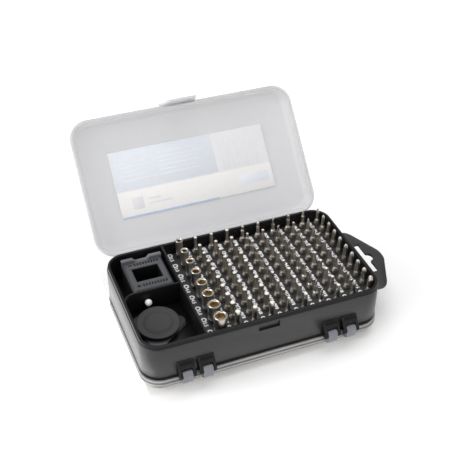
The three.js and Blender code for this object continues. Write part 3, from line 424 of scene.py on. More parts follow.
for place, pin, over in (("front", front_pin, False), ("back", back_pin, True)):
    pin_out = case_half_y + pin[0]
    pin_up = body_bottom + pin[1]
    ear_radius = barrel - 0.0007 * over
    root = case_half_y - 0.0005
    face = case_half_y + lip_step
    hood_top = body_bottom + 0.014
    ear_outline = np.vstack([
        [(root, pin_up - ear_radius * 0.9), (face, pin_up - ear_radius * 0.9)],
        arc(pin_out, pin_up, ear_radius, -110, 40, 12), [(face + 0.0003, hood_top), (root, hood_top)]])
    hood_edge = case_half_y + max(pin[0] - 0.0006, 0.0017)
    hood_skin = max(swing + 0.0005, 0.0012)
    hood_outline = np.vstack([
        [(root, pin_up + hood_skin), (hood_edge, pin_up + hood_skin), (hood_edge, pin_up + swing + 0.0012)],
        curve_of((hood_edge, pin_up + swing + 0.002), (hood_edge - 0.0004, hood_top - 0.0022),
                 (face + 0.0002, hood_top - 0.0004), 6), [(root, hood_top - 0.0004)]])
    hinge_parts = []
    for centre in hinge_centres:
        for side in (-1, 1):
            for inner in (hinge_width / 2 - ear_thick, ear_inner):
                left = centre + (inner if side > 0 else -inner - ear_thick)
                hinge_parts.append(hinge_side(ear_outline, left, left + ear_thick, over))
            low = centre + (ear_inner if side > 0 else -hinge_width / 2) + ear_thick / 2
            high = centre + (hinge_width / 2 if side > 0 else -ear_inner) - ear_thick / 2
            hinge_parts.append(hinge_side(hood_outline, low, high, over, 0.0001))
    # The ears and hoods take the darker copy of the black plastic: painted shade.
    lugs = piece_of("hinge_ears_" + place, hinge_parts, black_plastic_painted_shade)
    normals = lugs.modifiers.new("weighted", "WEIGHTED_NORMAL")
    normals.keep_sharp = True
    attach(lugs, "case")
    for centre, side_name in zip(hinge_centres, ("left", "right")):
        pin_loop = arc(pin_out, pin_up, 0.0012, 0, 345, 23)
        pin_part = hinge_side(pin_loop, centre - hinge_width / 2 + gap, centre + hinge_width / 2 - gap, over)
        node = "%s_hinge_pin_%s" % (place, side_name)
        hinge_pin = piece_of(node + "_rod", [pin_part], black_plastic)
        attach(hinge_pin, "case")
        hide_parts(node)
rib_parts = []
for rib_x in (-0.028, 0.020):
    notches = ((-0.033, 0.015), (-0.0195, 0.008), (-0.010, 0.006), (0.001, 0.009), (0.013, 0.003),
               (0.024, 0.003), (0.035, 0.003))
    edges = [inside_front - 0.0004]
    for notch_y, notch_width in notches:
        edges += [notch_y - notch_width / 2 - 0.0004, notch_y + notch_width / 2 + 0.0004]
    edges.append(-inside_front + 0.0004)
    for front, back in zip(edges[::2], edges[1::2]):
        rib_parts.append(plate(rectangle(rib_x - 0.0009, rib_x + 0.0009, front, back),
                               body_bottom, floor_bottom + 0.0004, 0.0002))
tool_ribs = piece_of("tool_ribs", rib_parts, black_plastic)
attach(tool_ribs, "case")
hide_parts("case_body")


# ---- Lids ------------------------------------------------------------------------------------
# Both lids are the same frosted polypropylene moulding, 1.4 mm thick: a double bead round the open
# edge, a sloping skirt, and a flat panel. The top lid is the bottom one turned over and swung open.
# The bottom lid stands on its panel. Its skirt, groove and beads are darker copies of the frosted plastic in
# three tones: painted shade on the skirt and in the groove, and a lighter tone on the beads for painted
# light.
lid_depth = 0.013
lid_wall = 0.0014
bead_out = 0.0015
lid_open = math.radians(132.5)
frosted, frosted_shader = grained(
    "frosted_polypropylene", (0.60, 0.60, 0.615), 0.32, 0, (60, 0.000004, 0.30, 0.38),
    ((0.595, 0.595, 0.61), (0.605, 0.605, 0.62)), detail=2.0)
frosted_shader.inputs["Alpha"].default_value = 0.55
lid_painted_light_tones = []
# Darker copies of the frosted plastic for the bottom lid: painted shade on the skirt and in the groove, and a
# lighter tone on the beads as painted light.
for finish, dark, light, alpha in (
        ("skirt", (0.26, 0.247, 0.222), (0.30, 0.285, 0.258), 0.96),
        ("groove", (0.19, 0.197, 0.222), (0.22, 0.227, 0.252), 0.95),
        ("bead", (0.44, 0.425, 0.405), (0.48, 0.465, 0.445), 0.95)):
    lid_painted_light_material, lid_painted_light_shader = grained(
        "frosted_painted_light_" + finish, light, 0.3, 0, (60, 0.000004, 0.26, 0.34), (dark, light), detail=2.0)
    lid_painted_light_shader.inputs["Alpha"].default_value = alpha
    lid_painted_light_tones.append(lid_painted_light_material)


def lid_ring(inset, depth, radius=None):
    """A ring of the lid, moved in from the bead by inset and down from the parting line by depth."""
    reach = bead_out - inset
    corner = case_corner + reach if radius is None else radius
    return at_height(rounded_loop(case_half_x + reach, case_half_y + reach, corner), body_bottom - depth)


lid_outside = [
    (0.0253, 0.0130, 0.001), (0.0247, 0.01295, 0.0012), (0.0100, 0.01125, 0.0050), (0.0088, 0.01105, 0.0056),
    (0.0052, 0.0107, 0.0085), (0.0042, 0.0102, 0.0094), (0.0031, 0.0090, 0.0108), (0.0025, 0.0079, None),
    (0.0019, 0.0052, None), (0.0014, 0.0048, None), (0.0003, 0.0047, None), (0, 0.0044, None),
    (0, 0.0037, None), (0.0003, 0.0034, None), (0.0007, 0.0032, None), (0.0008, 0.0025, None),
    (0.0007, 0.0018, None), (0.0003, 0.0015, None), (0, 0.0012, None), (0, 0.0007, None),
    (0.0002, 0.0004, None), (0.0006, 0.0003, None)]
lid_inside = [
    (0.0014, 0.0003, None), (0.0018, 0.0005, None), (0.0018, 0.0029, None), (0.0033, 0.0035, None),
    (0.0039, 0.0052, None), (0.0039, 0.0070, None), (0.0050, 0.0086, 0.0100), (0.0062, 0.0092, 0.0088),
    (0.0109, 0.0096, 0.0050), (0.0247, 0.01158, 0.0012), (0.0253, 0.0116, 0.001)]


latch_skew = 0.006


def lid_parts(pin):
    """The shell, the four knuckles and the latch of a lid, drawn as the closed bottom lid."""
    parts = [tube_parts([lid_ring(*ring) for ring in lid_outside + lid_inside])]
    pin_out = case_half_y + pin[0]
    pin_up = body_bottom + pin[1]
    bead_face = case_half_y + bead_out
    bead_top = body_bottom - gap
    strap = np.vstack([
        [(bead_face - 0.0009, body_bottom - 0.0041), (bead_face, body_bottom - 0.0041)],
        curve_of((bead_face + 0.0002, body_bottom - 0.0041), (pin_out + 0.0024, body_bottom - 0.0037),
                 (pin_out + barrel - 0.0002, pin_up - 0.0026), 8),
        [(pin_out + barrel, pin_up), (pin_out - barrel / 2, pin_up), (pin_out - barrel / 2, bead_top),
         (bead_face - 0.0009, bead_top)]])
    for centre in hinge_centres:
        for side in (-1, 1):
            low = centre + (knuckle_inner if side > 0 else -knuckle_outer)
            high = low + knuckle_width
            parts.append(hinge_side(strap, low, high, False, 0.0003))
            loops = [(barrel - 0.0003, low), (barrel, low + 0.0003), (barrel, high - 0.0003),
                     (barrel - 0.0003, high), (0.0015, high), (0.0015, low)]
            turn = full_turn(40)
            rings = [np.column_stack([np.full(len(turn), x), -(pin_out + radius * np.cos(turn)),
                                      pin_up + radius * np.sin(turn)]) for radius, x in loops]
            tube, faces = tube_parts(rings, close_rings=True)
            parts.append((tube, [face[::-1] for face in faces]))
    tongue_foot = max(bead_face, case_half_y + lip_step + gap)
    tongue_top = body_bottom + 0.0085
    tongue = np.vstack([
        [(-0.011 - latch_skew, bead_top - 0.0018), (0.0125, bead_top - 0.0018)],
        curve_of((0.0125, bead_top), (0.0110, bead_top + 0.0008), (0.0110, bead_top + 0.003), 4),
        curve_of((0.0110, tongue_top - 0.001), (0.0110, tongue_top), (0.0100, tongue_top), 4),
        curve_of((-0.0098, tongue_top), (-0.0110, tongue_top), (-0.0116, tongue_top - 0.001), 4),
        curve_of((-0.0132, bead_top + 0.0035), (-0.0142, bead_top + 0.0004),
                 (-0.011 - latch_skew, bead_top), 6)])
    sections, faces = slab(tongue, (0, 0.0003, 0.0015, 0.0018), (0.0003, 0, 0, 0.0003))
    parts.append((np.column_stack([sections[:, 0], tongue_foot + sections[:, 2], sections[:, 1]]),
                  [face[::-1] for face in faces]))
    flange = rectangle(-0.011, 0.011, bead_face - 0.0014, tongue_foot + 0.0006, 0.0002, 3)
    parts.append(plate(flange, bead_top - 0.0018, bead_top, 0.0003))
    return parts


def swung(points):
    """Points of a closed bottom lid, turned over to the top and swung open about the back pin."""
    turned = np.asarray(points) * np.array((1, -1, -1)) + np.array((0, 0, closed_height))
    pin_y = case_half_y + back_pin[0]
    pin_z = rim_top - back_pin[1]
    out = turned[:, 1] - pin_y
    above = turned[:, 2] - pin_z
    return np.column_stack([turned[:, 0], pin_y + out * math.cos(-lid_open) - above * math.sin(-lid_open),
                            pin_z + out * math.sin(-lid_open) + above * math.cos(-lid_open)])


bottom_lid = piece_of("bottom_lid_moulding", lid_parts(front_pin), lid_painted_light_tones[0])
skirt, groove, bead = range(3)
# Each ring band of the bottom lid takes its tone of painted light and shade: beads lighter, groove and skirt
# darker.
painted_light_of_ring = np.full(len(lid_outside) + len(lid_inside) - 1, skirt)
painted_light_of_ring[9:22] = bead
painted_light_of_ring[13:17] = groove
shell_painted_light = np.append(np.repeat(painted_light_of_ring, len(lid_ring(0, 0))), (skirt, skirt))
lid_painted_light_of_face = np.full(len(bottom_lid.data.polygons), groove)
lid_painted_light_of_face[:len(shell_painted_light)] = shell_painted_light
finish_faces(bottom_lid, lid_painted_light_tones[1:], lid_painted_light_of_face)
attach(bottom_lid, "bottom_lid")
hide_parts("bottom_lid")
top_parts = [(swung(points), faces) for points, faces in lid_parts(back_pin)]
top_lid = piece_of("top_lid_moulding", top_parts, frosted)
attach(top_lid, "top_lid")
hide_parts("top_lid")


# ---- Label card ------------------------------------------------------------------------------
# A pale printed card lies against the top lid's inner panel: a bluish field, a striped field, a warm
# strip with plain bars, and a blue line. Its print is thin ink blocks on the face of the card.
card_half_x = 0.0627
card_half_y = 0.0256
card_face = body_bottom - lid_depth + lid_wall + gap
card_thick = 0.0004


def paper(name, colour):
    """Matt coated card in one colour, with a faint fibre in its tone."""
    fibre = tuple(0.975 * value for value in colour)
    return grained(name, colour, 0.6, 0, (300, 0.00001, 0.52, 0.68), (fibre, colour))[0]


card_white = paper("card_white", (0.80, 0.80, 0.815))
card_points, card_faces = plate(rectangle(-card_half_x, card_half_x, -card_half_y, card_half_y, 0.0006),
                                card_face, card_face + card_thick, 0.0001)
card = piece_of("label_sheet", [(swung(card_points), card_faces)], card_white)
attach(card, "top_lid")
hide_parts("label_card")


def ink(name, colour, areas, layer):
    """Blocks of ink on the card: each area is left, right, upper and lower edge as shares of the card."""
    parts = []
    for left, right, upper, lower in areas:
        points, faces = plate(
            rectangle(-card_half_x + left * 2 * card_half_x, -card_half_x + right * 2 * card_half_x,
                      card_half_y - lower * 2 * card_half_y, card_half_y - upper * 2 * card_half_y),
            card_face + card_thick, card_face + card_thick + 0.00004 * layer, 0.00001)
        parts.append((swung(points), faces))
    block = piece_of(name, parts, paper(name, colour))
    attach(block, "top_lid")


stripe_left, stripe_pitch, stripe_widths = 0.69, 0.0105, (0.004, 0.007, 0.0025)
stripes = [(stripe_left + stripe_pitch * i, stripe_left + stripe_pitch * i + stripe_widths[i % 3], 0.10, 0.60)
           for i in range(24)]
rows = [(0.05, 0.20 + 0.05 * (i % 3), 0.12 + 0.065 * i, 0.14 + 0.065 * i) for i in range(6)]
rows += [(0.30, 0.52 + 0.03 * (i % 2), 0.12 + 0.065 * i, 0.14 + 0.065 * i) for i in range(6)]
ink("label_blue_field", (0.755, 0.785, 0.84), [(0.0, 0.655, 0.0, 0.60)], 1)
ink("label_warm_strip", (0.85, 0.838, 0.83), [(0.0, 1.0, 0.62, 1.0)], 1)
ink("label_rows", (0.80, 0.82, 0.86), rows, 2)
ink("label_stripes", (0.75, 0.755, 0.765), stripes, 1)
ink("label_bars", (0.77, 0.76, 0.78), [(0.08, 0.15, 0.72, 0.90), (0.18, 0.26, 0.76, 0.79),
                                        (0.18, 0.33, 0.83, 0.86)], 2)
ink("label_small_block", (0.76, 0.78, 0.84), [(0.78, 0.97, 0.73, 0.88)], 2)
ink("label_blue_line", (0.42, 0.58, 0.84), [(0.0, 0.62, 0.982, 1.0)], 2)


# ---- Deck and its print ----------------------------------------------------------------------
# The deck is a separate black plate, dropped in over the posts, whose hexagonal holes hold the tools.
# Beside each hole it is printed in white with a ring and the tool's size.
deck_low, deck_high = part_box("bit_deck")
deck_top = deck_high.z
deck_plastic, _ = grained("deck_polypropylene", (0.020, 0.020, 0.022), 0.5, 0, (700, 0.00003, 0.44, 0.58),
                          ((0.017, 0.017, 0.019), (0.026, 0.026, 0.028)))
socket_column = first_column - column_pitch
socket_pitch = 0.01222
socket_y = (3.5 - np.arange(8)) * socket_pitch
deck_right = case_half_x - wall - gap
deck_side = case_half_y - wall - gap
deck_corner = case_corner - wall - gap
deck_left = divider_right + gap
corner_turn = np.linspace(-math.pi / 2, 0, 12)
front_corner = np.column_stack([deck_right - deck_corner + deck_corner * np.cos(corner_turn),
                                -deck_side + deck_corner + deck_corner * np.sin(corner_turn)])
deck_outline = np.vstack([[(deck_left, -deck_side)], front_corner, front_corner[::-1] * np.array((1, -1)),
                          [(deck_left, deck_side)]])
deck = piece_of("deck_plate", [plate(deck_outline, deck_low.z, deck_top, 0.0004)], deck_plastic)
hex_turn = np.radians(np.arange(6) * 60 + 30)
hole_flat = 0.00225
hole_corner = hole_flat / math.cos(math.pi / 6)
hole_places = [(first_column + column * column_pitch, y) for column in range(9) for y in bit_y]
hole_places += [(socket_column, y) for y in socket_y]
holes = [tube_parts([level_ring(x, y, hole_corner, hex_turn, level)
                     for level in (deck_low.z - 0.001, deck_top + 0.001)]) for x, y in hole_places]
cut_away(deck, piece_of("hole_cutter", holes, deck_plastic), 35)
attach(deck, "case")
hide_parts("bit_deck")
white_ink, _ = grained("white_ink", (0.95, 0.95, 0.97), 0.5, 0, (1500, 0.00001, 0.45, 0.65))
printed = {}


def number(text, size):
    """A printed number as points and faces, read towards the front, its foot at the origin."""
    if text not in printed:
        curve = bpy.data.curves.new("number", "FONT")
        curve.body = text
        curve.size = size
        curve.extrude = 0.00002
        curve.resolution_u = 2
        curve.offset = 0.00013
        holder = bpy.data.objects.new("number", curve)
        bpy.context.scene.collection.objects.link(holder)
        bpy.context.view_layer.update()
        mesh = bpy.data.meshes.new_from_object(holder.evaluated_get(bpy.context.evaluated_depsgraph_get()))
        points = np.array([vertex.co[:] for vertex in mesh.vertices])
        faces = [list(polygon.vertices) for polygon in mesh.polygons]
        printed[text] = (np.column_stack([points[:, 1], -points[:, 0], points[:, 2]]), faces)
        bpy.data.objects.remove(holder)
        bpy.data.curves.remove(curve)
    return printed[text]


def ring_mark(x, y, outer, inner):
    """A flat printed ring."""
    low = deck_top + 0.00002
    high = low + 0.00004
    rings = [level_ring(x, y, radius, full_turn(20), level)
             for radius, level in ((outer, low), (outer, high), (inner, high), (inner, low))]
    return tube_parts(rings, close_rings=True)


marks = []
for index, y in enumerate(socket_y):
    points, faces = number("%.1f" % (2.5 + index * 0.5), 0.0037)
    marks.append((points + np.array((socket_column - 0.0081, y + 0.0006, deck_top + 0.00004)), faces))
    marks.append(ring_mark(socket_column - 0.0066, y + 0.0028, 0.0021, 0.0010))
sizes_by_column = ("1.%d", "T%d", "H%d", "P%d", "T%d", "%d.0", "Y%d", "U%d", "%d.5")
for column, pattern in enumerate(sizes_by_column):
    mark_x = first_column + column * column_pitch - 0.0052
    for row, y in enumerate(bit_y):
        points, faces = number(pattern % row, 0.0034)
        marks.append((points + np.array((mark_x - 0.0010, y + 0.0008, deck_top + 0.00004)), faces))
        marks.append(ring_mark(mark_x, y + 0.0022, 0.0016, 0.0004 + 0.0003 * (row % 2)))
deck_print = piece_of("deck_print", marks, white_ink)
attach(deck_print, "case")


# ---- Bits ------------------------------------------------------------------------------------
# Ninety 4 mm hexagonal bits, 28 mm long, turned and forged from nickel-plated tool steel. Each has a
# chamfered hexagonal shank, a bright shoulder, a slim shaft, and a tip of its own form.
tool_steel, _ = grained("tool_steel", (0.56, 0.52, 0.455), 0.22, 1.0, (180, 0.000003, 0.26, 0.36),
                        ((0.50, 0.46, 0.40), (0.62, 0.58, 0.515)), stretch=(1, 1, 0.15))
# A paler, duller steel for the tips' end faces: a painted highlight where the flat ends catch the overhead
# light.
tip_highlight_steel, _ = grained("tip_painted_highlight_steel", (0.86, 0.825, 0.76), 0.45, 0.5, (900, 0.000004, 0.40, 0.52))
bit_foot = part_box("phillips_bit_1")[0].z
around_bit = 36
section_turn = full_turn(around_bit)
bit_bands = 12
# The tip's end chamfer and end face take the painted highlight; the rest of the bit is tool steel.
tip_highlight_faces = np.repeat([0, 1, 0, 1], [(bit_bands - 1) * around_bit, around_bit, 1, 1])


def polygon_radius(sides, flat_radius, turn=0.0):
    """Distance to a regular polygon's side at each angle: the flat's over the cosine to its normal."""
    step = 2 * math.pi / sides
    return flat_radius / np.cos((section_turn - turn + step / 2) % step - step / 2)


def cross_radius(reach, web):
    """Distance to a cross of four blades, each web wide to either side of its middle line."""
    off = np.abs((section_turn + math.pi / 4) % (math.pi / 2) - math.pi / 4)
    return np.minimum(reach, web / np.maximum(np.sin(off), 1e-3))


def blade_radius(reach, half_thick):
    """Distance to a flat blade: a rectangle reach wide to either side and half_thick thick."""
    return np.minimum(reach / np.maximum(np.abs(np.cos(section_turn)), 1e-3),
                      half_thick / np.maximum(np.abs(np.sin(section_turn)), 1e-3))


def lobed_radius(lobes, reach, depth):
    """Distance to a star with rounded lobes: the reach less a cosine ripple."""
    return reach * (1 - depth / 2 + depth / 2 * np.cos(lobes * section_turn))


def tip_sections(form, reach):
    """Radii round the tip's foot, its middle and its end, for each form of bit."""
    if form == "cross":
        return (cross_radius(reach, reach * 0.9), cross_radius(reach * 0.82, reach * 0.36),
                cross_radius(reach * 0.34, reach * 0.2))
    if form == "blade":
        return (blade_radius(reach, reach * 0.35), blade_radius(reach, reach * 0.26),
                blade_radius(reach, 0.00022))
    if form == "star":
        return tuple(lobed_radius(6, reach * share, 0.26) for share in (1, 1, 0.92))
    if form == "hex":
        return tuple(polygon_radius(6, reach * share) for share in (0.93, 0.93, 0.84))
    if form == "triangle":
        return tuple(polygon_radius(3, reach * share * 0.6) for share in (1, 1, 0.9))
    if form == "square":
        return tuple(polygon_radius(4, reach * share * 0.75) for share in (1, 1, 0.9))
    return tuple(lobed_radius(5, reach * share, 0.3) for share in (1, 1, 0.9))


shank_flat = 0.002
shank_hexagon = polygon_radius(6, shank_flat)
round_section = np.ones(around_bit)


def bit(x, y, form, reach, turn=0.0):
    """One bit: rings of hexagon, cone, round shaft and tip carried up its axis."""
    shaft = round_section * max(min(reach, 0.0017), 0.00125)
    foot, middle, end = tip_sections(form, reach)
    tip_start = 0.0228 if form == "blade" else 0.0240
    neck = 0.0185 if form == "blade" else 0.0190
    levels = (0, 0.0003, 0.0164, 0.0169, 0.0175, 0.0181, neck, neck + 0.0004, tip_start, tip_start + 0.0006,
              0.0270, 0.0278, 0.0280)
    radii = (shank_hexagon * 0.88, shank_hexagon, shank_hexagon, np.minimum(shank_hexagon, 0.00222),
             round_section * 0.00208, round_section * 0.0017, shaft * 1.04, shaft, shaft, foot, middle, end,
             end * 0.86)
    return tube_parts([level_ring(x, y, radius, section_turn + turn, bit_foot + level)
                       for level, radius in zip(levels, radii)])


bit_forms = (
    [("hex", 0.0012 + 0.00009 * row) for row in range(10)],
    [("star", 0.0013 + 0.00007 * row) for row in range(10)],
    [("hex", 0.0013 + 0.00006 * row) for row in range(10)],
    [("lobes", 0.0010 + 0.00004 * row) for row in range(10)],
    [("star", 0.0011 + 0.00005 * row) for row in range(10)],
    [("blade", reach) for reach in (0.0012, 0.0015, 0.0019, 0.0021, 0.0018,
                                    0.0011, 0.0012, 0.0013, 0.0010, 0.0012)],
    [("triangle" if row < 5 else "square", 0.0010 + 0.00006 * row) for row in range(10)],
    [("blade", 0.0021) if row == 3 else ("cross", 0.0009 + 0.00005 * row) for row in range(10)],
    [("cross", 0.0011 + 0.00009 * row) for row in range(10)])
blade_turn, other_turn = 0.7, 0.35
for column in range(8):
    x = first_column + column * column_pitch
    parts = [bit(x, y, form, reach, blade_turn if form == "blade" else other_turn)
             for y, (form, reach) in zip(bit_y, bit_forms[column])]
    bits = piece_of("bits_%d" % (column + 1), parts, tool_steel, 30)
    finish_faces(bits, [tip_highlight_steel], np.tile(tip_highlight_faces, len(parts)))
    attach(bits, "case")
    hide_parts("bit_column_%d" % (column + 1))
for row in range(10):
    node = "phillips_bit_%d" % (row + 1)
    single = piece_of(node + "_turned", [bit(last_column, bit_y[row], *bit_forms[8][row])], tool_steel, 30)
    finish_faces(single, [tip_highlight_steel], tip_highlight_faces)
    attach(single, node)
    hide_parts(node)


# ---- Nut sockets -----------------------------------------------------------------------------
# Eight hexagonal nut sockets on 4 mm shanks. The head is a plain cylinder of the bits' steel with a chamfered
# rim, a short round mouth and a hexagonal bore, which keeps the brown tint of its heat treatment. The top
# chamfer, rim and
# mouth are a brighter steel: a painted highlight on the upward faces.
socket_brown, _ = grained("socket_bore_steel", (0.50, 0.40, 0.26), 0.38, 1.0, (400, 0.00001, 0.26, 0.45),
                          ((0.40, 0.31, 0.19), (0.60, 0.49, 0.33)))
bright_steel, _ = grained("bright_steel", (0.66, 0.645, 0.62), 0.2, 1.0, (300, 0.000006, 0.14, 0.28),
                          ((0.60, 0.585, 0.56), (0.70, 0.69, 0.67)))
for index, y in enumerate(socket_y):
    node = "nut_socket_%d" % (index + 1)
    share = index / 7
    radius = 0.0027 + 0.0020 * share
    hex_flat = 0.00125 + 0.00175 * share
    mouth = radius - 0.00075
    head = round_section * radius
    bore = polygon_radius(6, hex_flat)
    levels = (0, 0.0003, 0.0144, 0.0159, 0.0162, 0.02815, 0.0284, 0.0284, 0.0280, 0.0277, 0.0244)
    radii = (shank_hexagon * 0.88, shank_hexagon, np.minimum(shank_hexagon, radius), head - 0.0002, head,
             head, head - 0.00025, round_section * (mouth + 0.0001), round_section * (mouth - 0.0001),
             np.minimum(bore * 1.04, mouth - 0.0002), np.minimum(bore, mouth - 0.0002))
    rings = [level_ring(socket_column, y, ring_radius, section_turn, bit_foot + level)
             for level, ring_radius in zip(levels, radii)]
    nut_socket = piece_of(node + "_turned", [tube_parts(rings)], tool_steel, 30)
    band_of_face = np.append(np.repeat(np.arange(len(rings) - 1), around_bit), (0, len(rings)))
    # The top chamfer, rim and mouth take the brighter steel as a painted highlight; the bore keeps its brown
    # tint.
    bore_finish, rim_highlight_finish = 1, 2
    finish_faces(nut_socket, [socket_brown, bright_steel], np.where(
        band_of_face >= 8, bore_finish, np.where(band_of_face >= 5, rim_highlight_finish, 0)))
    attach(nut_socket, node)
    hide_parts(node)


# ---- Magnetizer ------------------------------------------------------------------------------
# A grey moulded block with a bevelled window that a driver is pushed through. Two lugs with a notch
# between them stand at its back, raised ribs and plus and minus signs mark its face, and it holds two
# magnets.
grey_plastic, _ = grained("grey_abs", (0.062, 0.064, 0.070), 0.42, 0, (1100, 0.00003, 0.40, 0.55),
                          ((0.057, 0.059, 0.065), (0.068, 0.070, 0.077)))
lug_grey, _ = grained("grey_abs_lugs", (0.13, 0.13, 0.14), 0.42, 0, (1100, 0.00003, 0.38, 0.5))
block_low, block_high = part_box("magnetizer_case")
block_x = (block_low.x + block_high.x) / 2
block_y = (block_low.y + block_high.y) / 2
block_half_x = (block_high.x - block_low.x) / 2
block_half_y = (block_high.y - block_low.y) / 2
lug_rise = 0.0026
face_top = block_high.z - lug_rise


def block_ring(left, right, front, back, radius, height):
    """A ring round a rounded rectangle given by its sides, at a height."""
    return at_height(rectangle(left, right, front, back, radius), height)


def shrunk(amount, radius, height):
    """The block's own outline, moved in by an amount."""
    return block_ring(block_x - block_half_x + amount, block_x + block_half_x - amount,
                      block_y - block_half_y + amount, block_y + block_half_y - amount, radius, height)


def window_ring(amount, height):
    """The window's outline, grown by an amount."""
    return block_ring(block_x - block_half_x + 0.0055 - amount, block_x + block_half_x - 0.0055 + amount,
                      block_y - block_half_y + 0.0107 - amount, block_y + block_half_y - 0.0095 + amount,
                      0.0004 + amount, height)


block_rings = [shrunk(0.0002, 0.0013, block_low.z), shrunk(0, 0.0015, block_low.z + 0.0003),
               shrunk(0, 0.0015, face_top - 0.0017), shrunk(0.0003, 0.0015, face_top - 0.0013),
               shrunk(0.0012, 0.0015, face_top - 0.0003), shrunk(0.0015, 0.0014, face_top),
               window_ring(0.0009, face_top), window_ring(0.0006, face_top - 0.0001),
               window_ring(0.0001, face_top - 0.0007), window_ring(0, face_top - 0.0011),
               window_ring(0, block_low.z)]
lug_outline = np.array([
    (-0.0148, -0.004), (0.0148, -0.004), (0.0150, 0.0022), (0.0146, lug_rise), (0.0062, lug_rise),
    (0.0057, 0.0024), (0.0038, 0.0004), (0.0033, 0.0002), (-0.0040, 0.0002), (-0.0045, 0.0004),
    (-0.0064, 0.0024), (-0.0069, lug_rise), (-0.0146, lug_rise), (-0.0150, 0.0022)])
lug_points, lug_faces = slab(lug_outline, (0, 0.0003, 0.0026, 0.0030), (0.0002, 0, 0, 0.0003))
lug_points = np.column_stack([block_x + lug_points[:, 0], block_y + block_half_y - lug_points[:, 2],
                              face_top + lug_points[:, 1]])
magnetizer_parts = [tube_parts(block_rings, close_rings=True), (lug_points, lug_faces)]


def raised_bar(x, y, half_x, half_y):
    """A low bar standing 0.4 mm on the block's face."""
    return plate(rectangle(x - half_x, x + half_x, y - half_y, y + half_y, min(half_x, half_y) * 0.6, 3),
                 face_top - 0.0001, face_top + 0.0004, 0.0001)


for strip_y, sign in ((block_y - block_half_y + 0.0055, 1), (block_y + block_half_y - 0.0058, -1)):
    for rib in range(9):
        magnetizer_parts.append(raised_bar(block_x - 0.0062 + rib * 0.0021, strip_y, 0.0005, 0.0011))
    magnetizer_parts.append(raised_bar(block_x - 0.0098, strip_y, 0.0013, 0.0003))
    if sign > 0:
        magnetizer_parts.append(raised_bar(block_x - 0.0098, strip_y, 0.0003, 0.0013))
magnetizer = piece_of("magnetizer_block", magnetizer_parts, grey_plastic, 30)
block_around = len(block_rings[0])
part_faces = [len(faces) for points, faces in magnetizer_parts]
magnetizer_band = np.zeros(len(magnetizer.data.polygons))
# The window's inner walls and the underside take the darker black plastic: painted shade inside the window.
magnetizer_band[8 * block_around:part_faces[0]] = 1
magnetizer_band[part_faces[0]:part_faces[0] + part_faces[1]] = 2
# The raised ribs and signs also take the darker black plastic: painted shade along the marks.
magnetizer_band[part_faces[0] + part_faces[1]:] = 1
finish_faces(magnetizer, [black_plastic_painted_shade, lug_grey], magnetizer_band)
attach(magnetizer, "magnetizer")
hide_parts("magnetizer_case")
magnet_steel, _ = grained("magnet_steel", (0.16, 0.16, 0.17), 0.4, 1.0, (900, 0.00002, 0.34, 0.5))


# ---- Suction cup and opening picks -----------------------------------------------------------
# A round rubber suction cup, dished and ringed, leans back on two thin three-cornered picks of hard
# plastic that lie on the floor of the front bay.
rubber, _ = grained("grey_rubber", (0.032, 0.032, 0.033), 0.62, 0, (1400, 0.00003, 0.56, 0.70),
                    ((0.029, 0.029, 0.030), (0.035, 0.035, 0.036)))
slate, _ = grained("slate_plastic", (0.062, 0.064, 0.078), 0.4, 0, (800, 0.00002, 0.36, 0.5),
                   ((0.058, 0.060, 0.073), (0.067, 0.069, 0.084)))
cup_x = inside_left + 0.0178
cup_y = inside_front + 0.0322
cup_tilt = math.radians(6)
cup_radius = 0.0152
pick_level = bay_floor_top + gap
pick_step = 0.0011
cup_foot = pick_level + 2 * pick_step + 0.007 * math.sin(cup_tilt)
cup_profile = [
    (0.0055, 0), (0.0060, 0.0001), (0.0070, 0.0008), (cup_radius - 0.0012, 0.0024),
    (cup_radius - 0.0003, 0.0027), (cup_radius, 0.0031), (cup_radius, 0.0035), (cup_radius - 0.0003, 0.0038),
    (cup_radius - 0.0009, 0.0039), (0.0115, 0.0037), (0.0105, 0.0036), (0.0103, 0.0038), (0.0099, 0.0039),
    (0.0096, 0.0037), (0.0094, 0.0035), (0.0070, 0.0034), (0.0030, 0.00335), (0.0004, 0.0033)]
cup_turn = full_turn(96)
cup_squash = 0.96
cup_set_back = 0.0004
cup_rings = []
for radius, height in cup_profile:
    y = radius * np.sin(cup_turn)
    cup_rings.append(np.column_stack([
        cup_x + radius * np.cos(cup_turn),
        cup_y + cup_set_back + cup_squash * y * math.cos(cup_tilt) - height * math.sin(cup_tilt),
        cup_foot + y * math.sin(cup_tilt) + height * math.cos(cup_tilt)]))
suction_cup = piece_of("suction_cup_rubber", [tube_parts(cup_rings)], rubber, 50)
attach(suction_cup, "suction_cup")
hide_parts("suction_cup")


def pick_outline(turn):
    """Three round corners joined by bowed sides, turned about the middle."""
    reach, tip = 0.020, 0.005
    spread = math.pi / 3.4
    points = []
    for corner in range(3):
        direction = corner * 2 * math.pi / 3 + turn
        after = direction + 2 * math.pi / 3
        centre = (reach - tip) * np.array((math.cos(direction), math.sin(direction)))
        angle = np.linspace(direction - spread, direction + spread, 13)
        round_tip = centre + tip * np.column_stack([np.cos(angle), np.sin(angle)])
        start = ((reach - tip) * np.array((math.cos(after), math.sin(after)))
                 + tip * np.array((math.cos(after - spread), math.sin(after - spread))))
        side = direction + math.pi / 3
        middle = reach * 0.66 * np.array((math.cos(side), math.sin(side)))
        points += [round_tip, curve_of(round_tip[-1], middle, start, 14)[1:-1]]
    return np.vstack(points)


pick_turn = 5
pick_forward = 0.0008
pick_thick = 0.0008
for node, step in (("opening_pick_lower", 0), ("opening_pick_upper", 1)):
    outline = pick_outline(math.radians(pick_turn * (step + 1))) + np.array((cup_x, cup_y - pick_forward))
    low = pick_level + step * pick_step
    pick = piece_of(node + "_blade", [plate(outline, low, low + pick_thick, 0.0003)], slate)
    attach(pick, node)
    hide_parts(node)


